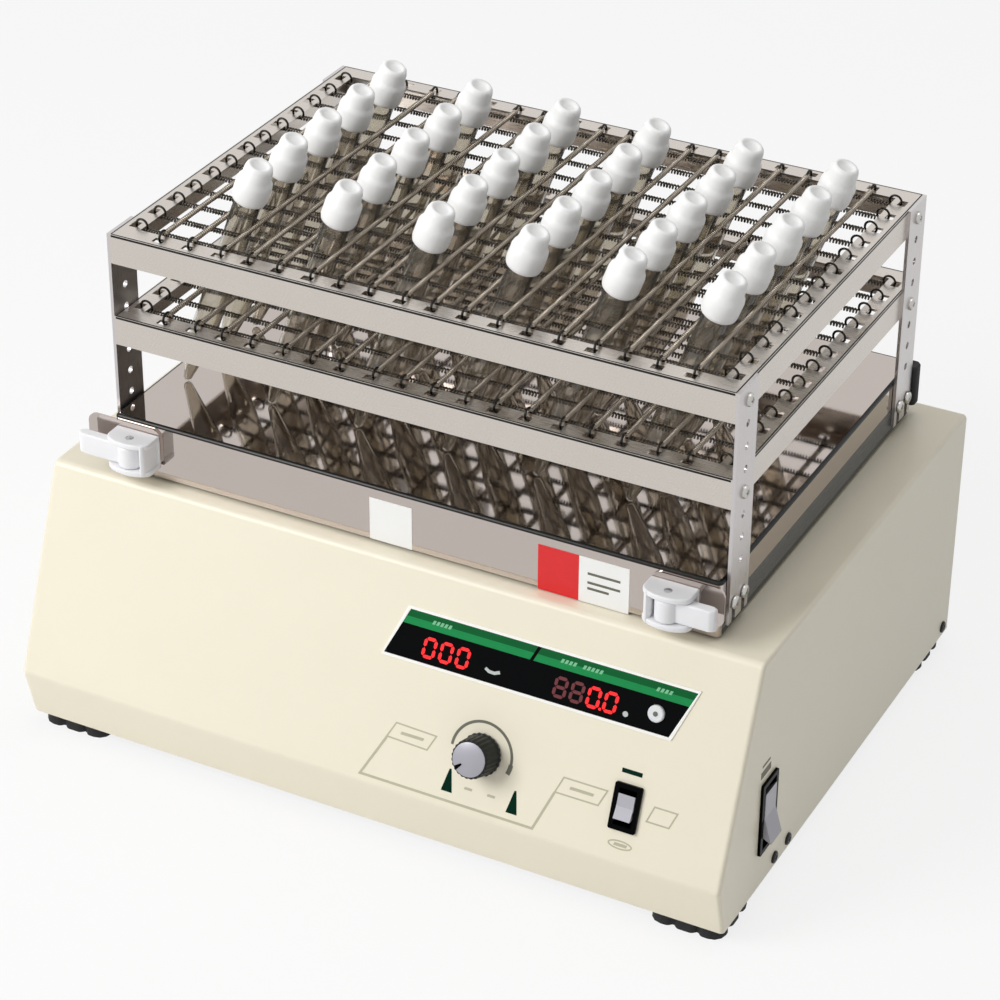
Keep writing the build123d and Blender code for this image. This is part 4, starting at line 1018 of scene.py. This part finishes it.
@dataclass
class Controls:
    """Speed knob, switches and the lines printed round them."""

    knob: tuple[float, float] = (78.0, 38.0)
    knob_radius: float = 13.0
    knob_height: float = 17.0
    pointer: float = 222.0
    run: tuple[float, float] = (171.5, 33.5)

    def arc(self, radius: float, start: float, stop: float, steps: int = 40) -> list[tuple[float, float]]:
        """Points of an arc round the knob, with angles in degrees."""
        angles = [start + (stop - start) * i / steps for i in range(steps + 1)]
        return [(self.knob[0] + x, self.knob[1] + y) for x, y in oval(radius, radius, angles)]

    def print_lines(self, panel: Place) -> None:
        """Print the frames, the arc and the arrows."""
        lines = Shell()
        for box in (
            [(16.5, 31.4), (43.5, 30.5), (48.0, 40.2), (21.3, 41.0)],
            [(127.0, 29.6), (154.5, 29.6), (158.6, 39.6), (131.0, 39.6)],
            [(185.0, 29.2), (199.0, 29.2), (202.6, 38.8), (188.4, 38.8)],
        ):
            lines.stroke(panel, box, 0.9, SEAT, INK, loop=True)
        lines.stroke(panel, [(16.6, 30.9), (3.4, 4.7), (117.3, 4.4), (126.9, 29.2)], 1.5, SEAT, INK)
        ring = [(172.0 + x, 11.0 + y) for x, y in oval(7.2, 2.3, range(0, 360, 15))]
        lines.stroke(panel, ring, 0.8, SEAT, INK, loop=True)
        for x0, x1, y in ((25.0, 40.0, 35.8), (135.5, 150.5, 34.6), (168.0, 176.0, 11.0)):
            lines.prism(
                panel, [(x0, y - 0.9), (x1, y - 0.9), (x1 + 0.6, y + 0.9), (x0 + 0.6, y + 0.9)], SEAT,
                INK,
            )
        for x, y in ((71.0, 14.6), (86.0, 14.6)):
            lines.prism(panel, [(x, y), (x + 5, y), (x + 5.3, y + 1.5), (x + 0.3, y + 1.5)], SEAT, INK)
        piece("panel_lines", lines.mesh("panel_lines"), PRINT_KHAKI, "base")
        dial = Shell().stroke(panel, self.arc(19.4, 178, -4), 1.7, SEAT, INK)
        dial.stroke(panel, self.arc(19.4, -3, -21, 8), 2.8, SEAT, INK)
        piece("dial_arc", dial.mesh("dial_arc"), PRINT_GREY, "base")
        arrows = Shell()
        for x, y in ((60.2, 16.6), (102.8, 15.6)):
            arrows.prism(
                panel, [(x - 3.6, y - 6.6), (x + 3.6, y - 6.6), (x + 0.9, y + 7.4), (x - 0.3, y + 7.4)],
                SEAT, INK,
            )
        arrows.stroke(panel, [(164.9, 54.4), (177.6, 54.4)], 2.6, SEAT, INK)
        piece("panel_arrows", arrows.mesh("panel_arrows"), PRINT_GREEN, "base")

    def make_knob(self, panel: Place) -> None:
        """Turn the fluted knob with its pale disc and pointer."""
        r, h = self.knob_radius, self.knob_height
        place = panel.moved(*self.knob)
        body = Shell().lathe(
            place,
            [
                (r - 0.4, 0.35), (r, 0.8), (r, 2.2), (r - 0.7, 2.6), (r - 1.2, h - 1.4), (r - 1.7, h - 0.5),
                (r - 2.6, h - 0.1),
            ],
            144, flute=0.5, flutes=24,
        )
        piece(
            "knob_body", body.mesh("knob_body", 50), KNOB_SIDE, "speed_knob", replaces=["speed_knob"],
        )
        disc = Shell().lathe(
            place, [(r - 2.7, h - 0.3), (r - 2.7, h), (r - 3.1, h + 0.18), (2.0, h + 0.24)], 64,
        )
        piece("knob_disc", disc.mesh("knob_disc"), KNOB_FACE, "speed_knob")
        a = math.radians(self.pointer)
        way, side = (math.cos(a), math.sin(a)), (-math.sin(a), math.cos(a))
        near, far = 5.4, r - 2.9
        outline = [
            (way[0] * d + side[0] * w, way[1] * d + side[1] * w)
            for d, w in ((near, -0.5), (far, -1.3), (far, 1.3), (near, 0.5))
        ]
        mark = Shell().prism(place, outline, h + 0.1, h + 0.4)
        piece("knob_pointer", mark.mesh("knob_pointer"), SWITCH, "speed_knob")

    def build(self, panel: Place) -> None:
        """Make everything round the controls."""
        self.print_lines(panel)
        self.make_knob(panel)
        dress(SWITCH, "run_switch_frame", "power_switch_frame")
        dress(ROCKER, "run_switch_rocker", "power_switch_rocker")


@dataclass
class Connections:
    """Right side's switch print and the rear inlet."""

    side: float = 236.0
    bar: tuple[float, float, float, float] = (-131.0, -117.0, 90.0, 94.5)

    def build(self, shop: Workshop) -> None:
        """Dress the inlet and print over the power switch."""
        dress(SWITCH, "power_inlet")
        place = Place(Vector((self.side, 0, 0)), Vector((0, 1, 0)), Vector((0, 0, 1)))
        y0, y1, z0, z1 = self.bar
        mark = Shell().prism(place, box(y0, y1, z0, z1), SEAT, INK)
        mark.stroke(place, [(y0 + 1.5, z1 + 3.4), (y1 - 1.5, z1 + 3.4)], 1.5, SEAT, INK)
        piece("side_print", mark.mesh("side_print"), PRINT_GREY, "base")
        spots = [Spot((150.0 + sx * 20.0, 186.0, 60.0), (-90, 0, 0)) for sx in (-1, 1)]
        mesh = shop.repeat("inlet_screw_heads", screw_head(2.8, 1.5, 1.4), spots, BRIGHT)
        piece("inlet_screw_heads", mesh, None, "base", replaces=["inlet_screws"])


# ---------------------------------------------------------------- platform and rack
@dataclass
class Stand:
    """Where the platform stands on its orbit, and the sizes that the rack shares with it."""

    throw: float = 12.5
    heading: float = -73.0
    axis: float = 32.0
    top: float = 209.0
    width: float = 399.4
    depth: float = 290.0
    skirt: float = 36.0
    upper: float = 326.0
    middle: float = 272.0
    rack_width: float = 400.0
    rack_depth: float = 276.0
    pitch: float = 20.0
    lean: float = 20.0 / 54.0
    post_inset: float = 13.0
    post_sheet: float = 2.0

    @property
    def x(self) -> float:
        """X place of the platform's middle."""
        return self.throw * math.cos(math.radians(self.heading))

    @property
    def y(self) -> float:
        """Y place of the platform's middle."""
        return self.axis + self.throw * math.sin(math.radians(self.heading))

    @property
    def posts(self) -> list[float]:
        """Y places of the posts, front then rear."""
        return [self.y + s * (self.rack_depth / 2 - self.post_inset) for s in (-1, 1)]

    @property
    def post_face(self) -> float:
        """How far the posts' outer faces stand from the middle."""
        return self.rack_width / 2 + self.post_sheet

    @property
    def columns(self) -> list[float]:
        """X places of the tubes at the upper tier."""
        return [self.x + (-7 + 3 * i) * self.pitch for i in range(6)]

    @property
    def rows(self) -> list[float]:
        """Y places of the tubes."""
        return [self.y + (-4.5 + 2 * i) * self.pitch for i in range(5)]

    @property
    def front(self) -> float:
        """Y place of the platform's front skirt."""
        return self.y - self.depth / 2

    @property
    def lean_angle(self) -> float:
        """The tubes' lean in degrees."""
        return math.degrees(math.atan(self.lean))


@dataclass
class Latch:
    """Nylon corner catch: an eared base on the skirt and a lever with a long arm."""

    side: int
    pivot: float
    tip: float
    stand_off: float = 11.5
    middle: float = 192.0
    half_width: float = 15.0
    half_height: float = 11.0
    ear: float = 3.5
    nose: float = 8.0
    hub: float = 7.4

    @property
    def name(self) -> str:
        """The side that the catch is on."""
        return "left" if self.side < 0 else "right"

    def make_base(self, place: Place) -> None:
        """Shape the back plate and its two round-nosed ears."""
        w, h, back = self.half_width, self.half_height, self.stand_off - 1.5
        nose = oval(w, -self.nose, range(180, -1, -10))
        outline = [(-w, back), *nose, (w, back)]
        base = Shell()
        for low in (-h, h - self.ear):
            base.prism(place, outline, low, low + self.ear)
        base.prism(place, [(-w, back - 2), (w, back - 2), (w, back), (-w, back)], -h + 0.4, h - 0.4)
        cheek = [(9.0, back - 1), (9.0, -4.0), (10.5, -6.5), (12.6, -5.0), (13.8, 0.0), (13.8, back - 1)]
        base.prism(place, [(-self.side * x, y) for x, y in cheek], -h + 0.4, h - 0.4)
        name = f"catch_base_{self.name}"
        piece(
            name, base.mesh(name), NYLON, "platform", bevel=0.9, replaces=[f"latch_base_{self.name}"],
        )

    def make_lever(self, place: Place) -> None:
        """Shape the lever's hub and arm."""
        half = self.half_height - self.ear - 0.35
        lever = Shell()
        lever.prism(place, oval(self.hub, self.hub, range(0, 360, 12)), -half, half)
        end = self.tip - self.pivot
        corner = end - self.side * 3.0
        arm = [(0, -3.5), (corner, -3.5), (end, -1.5), (end, 2.0), (corner, 3.5), (0, 3.5)]
        lever.prism(place, arm, -half + 0.2, half - 0.2)
        name = f"catch_lever_{self.name}"
        piece(
            name, lever.mesh(name), NYLON, f"latch_{self.name}", bevel=1.2,
            replaces=[f"latch_lever_{self.name}"],
        )

    def build(self, stand: Stand) -> None:
        """Make the catch on its corner."""
        place = Place(Vector((self.pivot, stand.front - self.stand_off, self.middle)))
        self.make_base(place)
        self.make_lever(place)


@dataclass
class Deck:
    """Polished platform with its studs, catches and plates."""

    stand: Stand
    square_plate: tuple[float, float, float, float] = (-20, 8, 173, 201)
    label: tuple[float, float, float] = (90, 116, 147.5)
    label_rise: tuple[float, float] = (171.5, 201.5)
    label_lines: tuple[tuple[float, float, float], ...] = (
        (190.5, 121.5, 142.0), (184.5, 121.5, 142.0), (180.6, 121.5, 135.0),
    )
    line_width: float = 1.6
    band_rise: tuple[float, float] = (176.5, 190.5)
    band_foot: float = 173.2
    guard_rise: tuple[float, float] = (180.0, 207.0)
    stud_drop: float = 19.0
    stud_spread: float = 6.5

    def build(self, shop: Workshop) -> None:
        """Dress the platform and put on what it carries."""
        dress(POLISHED, "platform", "latch_plates")
        dress(BRIGHT, "latch_pins")
        stand = self.stand
        skirt = Place(Vector((0, stand.front, 0)), Vector((1, 0, 0)), Vector((0, 0, 1)))
        white = Shell().prism(skirt, box(*self.square_plate), SEAT, PLATE)
        white.prism(skirt, box(self.label[1], self.label[2], *self.label_rise), SEAT, PLATE)
        piece("plates_white", white.mesh("plates_white"), PLATE_WHITE, "platform")
        red = Shell().prism(skirt, box(self.label[0], self.label[1], *self.label_rise), SEAT, PLATE)
        piece("plate_red", red.mesh("plate_red"), PLATE_RED, "platform")
        bars = Shell()
        for z, x0, x1 in self.label_lines:
            bars.prism(skirt, box(x0, x1, z, z + self.line_width), PLATE + SEAT, PLATE + 0.09)
        piece("plate_lines", bars.mesh("plate_lines"), PRINT_GREY, "platform")
        half = stand.width / 2
        Latch(-1, stand.x - half + 18.0, stand.x - half - 17.9).build(stand)
        Latch(1, stand.x + half - 27.0, stand.x + half + 2.9).build(stand)
        self.paint_edge_shade()
        self.guard_corners()
        self.studs(shop)

    def paint_edge_shade(self) -> None:
        """Lay a dark strip over the platform's upper edge as painted dark reflection, and lay the side's
        lower band of painted reflected shade with a painted gap shadow under it.
        """
        stand = self.stand
        place = Place(Vector((stand.x, stand.y, 0)))
        # A thin dark skin over the top edge bend: painted dark reflection.
        bend, skin = 2.0, 0.12
        rows = []
        for depth in (skin, -0.4):
            turns = [0, 22.5, 45, 67.5, 90]
            for angle in turns if depth > 0 else turns[::-1]:
                a = math.radians(angle)
                inset = bend - (bend + depth) * math.cos(a)
                high = stand.top - bend + (bend + depth) * math.sin(a)
                outline = rounded(stand.width - 2 * inset, stand.depth - 2 * inset, 3.0 - inset)
                rows.append([place.at(x, y, high) for x, y in outline])
        edge = Shell()
        edge.weave(rows)
        piece("rolled_edge", edge.mesh("rolled_edge", 60), EDGE_SHADE, "platform")
        # Right skirt: a slate band as painted reflection of the shaded housing top, and a black line below it
        # as painted shadow of the gap over the housing.
        side = Place(Vector((stand.x + stand.width / 2, stand.y, 0)), Vector((0, 1, 0)), Vector((0, 0, 1)))
        half = stand.depth / 2 - 4
        band = Shell().prism(side, box(-half, half, *self.band_rise), SEAT, INK)
        piece("side_band", band.mesh("side_band"), REFLECTED_SHADE, "platform")
        foot = Shell().prism(side, box(-half, half, self.band_foot, self.band_rise[0]), SEAT, INK + 0.01)
        piece("side_foot_line", foot.mesh("side_foot_line"), EDGE_SHADE, "platform")

    def guard_corners(self) -> None:
        """Wrap the rubber guards round the platform's rear corners."""
        stand = self.stand
        place = Place(Vector((stand.x, stand.y, 0)))
        guards = Shell()
        half, rear = stand.width / 2, stand.depth / 2
        outline = [
            (half + SEAT, rear - 6), (half + 3.5, rear - 6), (half + 5, rear - 4.0),
            (half + 5, rear + 1.5), (half + 2.5, rear + 4.5),
            (half - 10, rear + 4.5), (half - 10, rear + SEAT), (half + SEAT, rear + SEAT),
        ]
        for side in (-1, 1):
            guards.prism(place, [(side * x, y) for x, y in outline], *self.guard_rise)
        piece(
            "corner_guards", guards.mesh("corner_guards"), RUBBER, "platform", bevel=1.6,
        )

    def studs(self, shop: Workshop) -> None:
        """Make the studs that the rack's posts drop over."""
        stand = self.stand
        ys = [y + t * self.stud_spread for y in stand.posts for t in (-1, 1)]
        x = stand.post_face + 0.35
        z = stand.top - self.stud_drop
        spots = [Spot((stand.x + sx * x, y, z), (0, 90 * sx, 0)) for sx in (-1, 1) for y in ys]
        shell = screw_head(4.0, 2.1, 1.9)
        shell.lathe(HOME, [(1.95, -2.4), (1.95, 0.05)], 16)
        mesh = shop.repeat("post_studs", shell, spots, BRIGHT)
        piece("post_studs", mesh, None, "platform", replaces=["rack_studs"])


@dataclass(frozen=True)
class Winding:
    """One kind of spring by its outer radius, its wire's radius and its pitch."""

    coil: float
    wire: float
    pitch: float


@dataclass
class Rack:
    """Two spring-net tiers on four perforated posts."""

    stand: Stand
    cross: Winding = Winding(1.8, 0.66, 1.75)
    along: Winding = Winding(1.9, 0.7, 1.95)
    ring: tuple[float, float] = (3.8, 0.75)
    lip: float = 13.0
    ring_inset: float = 11.0
    clearance: float = 0.3
    tube: float = 16.5
    first_hole: float = 9.5
    hole_pitch: float = 14.5

    def aside(self, place: float, tubes: Sequence[float], room: float) -> float:
        """Where a spring lies when the tubes beside it press it away."""
        for tube in tubes:
            if abs(place - tube) < room:
                return tube + room if place > tube else tube - room
        return place

    def wind(
        self, shop: Workshop, names: tuple[str, str], spots: Iterable[Spot], finish: Finish,
        kind: Winding, run: float,
    ) -> None:
        """Wind one layer of a tier's springs.

        Args:
            shop: Trees that make repeated pieces.
            names: The layer's name, and that of the node it replaces.
            spots: Where the springs start.
            finish: Their finish.
            kind: How they are wound.
            run: Their length.
        """
        name, replaced = names
        mesh = shop.springs.run(
            name, spots, finish, Coil_Radius=(kind.coil - kind.wire) * MM, Wire_Radius=kind.wire * MM,
            Length=run * MM, Turns=run / kind.pitch,
        )
        piece(name, mesh, None, "rack", replaces=[replaced])

    def nets(self, shop: Workshop, tier: str, z: float) -> None:
        """Wind one tier's springs and hook them to its lips.

        Args:
            shop: Trees that make repeated pieces.
            tier: The tier's name.
            z: Height of its lip.
        """
        stand, gap = self.stand, self.clearance
        upright = 1 / math.sqrt(1 + stand.lean ** 2)
        top_z, low_z = z + self.cross.coil, z - self.along.coil - gap
        shift = (stand.upper - top_z) * stand.lean
        columns = [c - shift for c in stand.columns]
        room = (self.tube / 2 + self.cross.coil + gap) / upright
        xs = [self.aside(stand.x + (i - 8.5) * stand.pitch, columns, room) for i in range(18)]
        room = self.tube / 2 + self.along.coil + gap
        ys = [self.aside(stand.y + (i - 6) * stand.pitch, stand.rows, room) for i in range(13)]
        run = stand.rack_depth - 2 * self.lip - 2 * gap
        spots = [Spot((x, stand.y - run / 2, top_z), (-90, 0, 0)) for x in xs]
        names = (f"{tier}_front_to_rear_springs", f"{tier}_cross_springs")
        self.wind(shop, names, spots, SPRING, self.cross, run)
        run = stand.rack_width - 2 * self.lip - 2 * gap
        spots = [Spot((stand.x - run / 2, y, low_z), (0, 90, 0)) for y in ys]
        names = (f"{tier}_side_to_side_springs", f"{tier}_long_springs")
        # The lower side-to-side springs take the darker copy of the wire: painted shade.
        self.wind(shop, names, spots, SHADED_SPRING, self.along, run)
        deep, wide = (half / 2 - self.ring_inset for half in (stand.rack_depth, stand.rack_width))
        spots = [Spot((x, stand.y + s * deep, z + 2 * gap), (0, 90, 0)) for x in xs for s in (-1, 1)]
        spots += [Spot((stand.x + s * wide, y, z + 2 * gap), (90, 0, 0)) for y in ys for s in (-1, 1)]
        radius, wire = self.ring
        # The rings are coloured near-black: painted shade in the lip slots.
        rings = shop.hooks.run(
            f"{tier}_hook_rings", spots, SHADED_HOOK, Ring_Radius=radius * MM, Wire_Radius=wire * MM,
        )
        piece(f"{tier}_hook_rings", rings, None, "rack")

    def screws(self, shop: Workshop) -> None:
        """Put in the screws that hold the tiers to the posts."""
        stand = self.stand
        upper = stand.upper - self.first_hole
        zs = (upper, upper - 4 * self.hole_pitch)
        places = [(sx, y, z) for sx in (-1, 1) for y in stand.posts for z in zs]
        spots = [Spot((stand.x + sx * stand.post_face, y, z), (0, 90 * sx, 0)) for sx, y, z in places]
        mesh = shop.repeat("tier_screw_heads", screw_head(4.0, 2.2, 2.0), spots, BRIGHT)
        piece("tier_screw_heads", mesh, None, "rack", replaces=["tier_screws"])

    def build(self, shop: Workshop) -> None:
        """Dress the frames and posts, and make the nets and screws."""
        dress(BRUSHED_X, "top_tier_frame", "middle_tier_frame")
        dress(BRUSHED_Z, "rack_posts")
        # Thin dark rings round the tiers' top edges: painted shade line along the bends, in the dark edge
        # colour.
        bends = Shell()
        for z in (self.stand.upper, self.stand.middle):
            place = Place(Vector((self.stand.x, self.stand.y, z)))
            wide, deep = self.stand.rack_width, self.stand.rack_depth
            sections = [(-0.3, -1.6), (0.09, -1.6), (0.09, -0.4), (-0.3, 0.08), (-1.1, 0.08), (-1.1, -0.3)]
            outlines = [(rounded(wide + 2 * out, deep + 2 * out, 1.3 + out), h) for out, h in sections]
            bends.weave([[place.at(x, y, h) for x, y in outline] for outline, h in outlines])
        piece("tier_bends", bends.mesh("tier_bends", 60), EDGE_SHADE, "rack")
        self.nets(shop, "top", self.stand.upper)
        self.nets(shop, "middle", self.stand.middle)
        self.screws(shop)


@dataclass
class Tubes:
    """Thirty leaning test tubes with soft white caps."""

    stand: Stand
    radius: float = 8.25
    wall: float = 1.2
    length: float = 165.0
    tip: float = 2.8
    taper: float = 30.0
    cap_radius: float = 10.95
    cap_height: float = 26.0
    cap_over: float = 3.5

    def build(self, shop: Workshop) -> None:
        """Blow the tubes and put their caps on."""
        stand = self.stand
        ball = stand.top + 0.3 + self.radius
        back = (stand.upper - ball) * stand.lean
        spots = [
            Spot((x - back, y, ball), (0, stand.lean_angle, 0))
            for x in stand.columns for y in stand.rows
        ]
        mouth = self.length - self.radius
        r, inner = self.radius, self.radius - self.wall
        bends = [math.radians(a) for a in (-86, -64, -42, -22, -6)]
        outside = [(self.tip * math.cos(a), self.tip * (1 + math.sin(a)) - r) for a in bends]
        hollow = self.tip - self.wall * 0.8
        inside = [(hollow * math.cos(a), hollow * (1 + math.sin(a)) - inner) for a in bends[::-1]]
        mid = (self.taper + mouth) / 2
        outer = [(r - 0.15, self.taper - 2.0), (r, self.taper), (r, mid), (r, mouth - 0.6), (r - 0.5, mouth)]
        inner_side = [
            (inner + 0.3, mouth), (inner, mouth - 0.6), (inner, mid), (inner, self.taper),
            (inner - 0.15, self.taper - 2.0),
        ]
        profile = [*outside, *outer, *inner_side, *inside]
        glass = shop.repeat("glass_tubes", Shell().lathe(HOME, profile, 24), spots, GLASS)
        piece("glass_tubes", glass, None, "tubes", replaces=["test_tubes"])
        low = mouth + self.cap_over - self.cap_height
        c = self.cap_radius
        cap = [
            (r + 0.1, 3.0), (r + 0.3, 0.3), (c - 1.6, 0.0), (c - 0.5, 0.9), (c, 3.0), (c, 12.6),
            (c - 0.35, 14.2), (c - 1.25, 15.6),
            (c - 1.9, 17.0), (c - 2.4, 22.4), (c - 3.1, 24.6), (c - 4.2, 25.7), (c - 5.4, 25.6),
            (c - 6.3, 24.9), (c - 7.6, 24.3), (1.2, 24.1),
        ]
        profile = [(x, low + y) for x, y in cap]
        plug = mouth + 0.1
        shell = Shell().lathe(HOME, [(0.8, plug), (r + 0.1, plug), *profile], 28)
        caps = shop.repeat("tube_caps_soft", shell, spots, CAP, 60)
        piece("tube_caps_soft", caps, None, "caps", replaces=["tube_caps"])


def main() -> None:
    """Build the studio and the shaker."""
    logging.basicConfig(level=logging.INFO, format="%(name)s: %(message)s")
    Studio().build()
    shop = Workshop()
    housing = Housing()
    stand = Stand()
    housing.build(shop)
    Drive().build()
    Display().build(housing.panel)
    Controls().build(housing.panel)
    Connections().build(shop)
    Deck(stand).build(shop)
    Rack(stand).build(shop)
    Tubes(stand).build(shop)


if __name__ == "__main__":
    main()
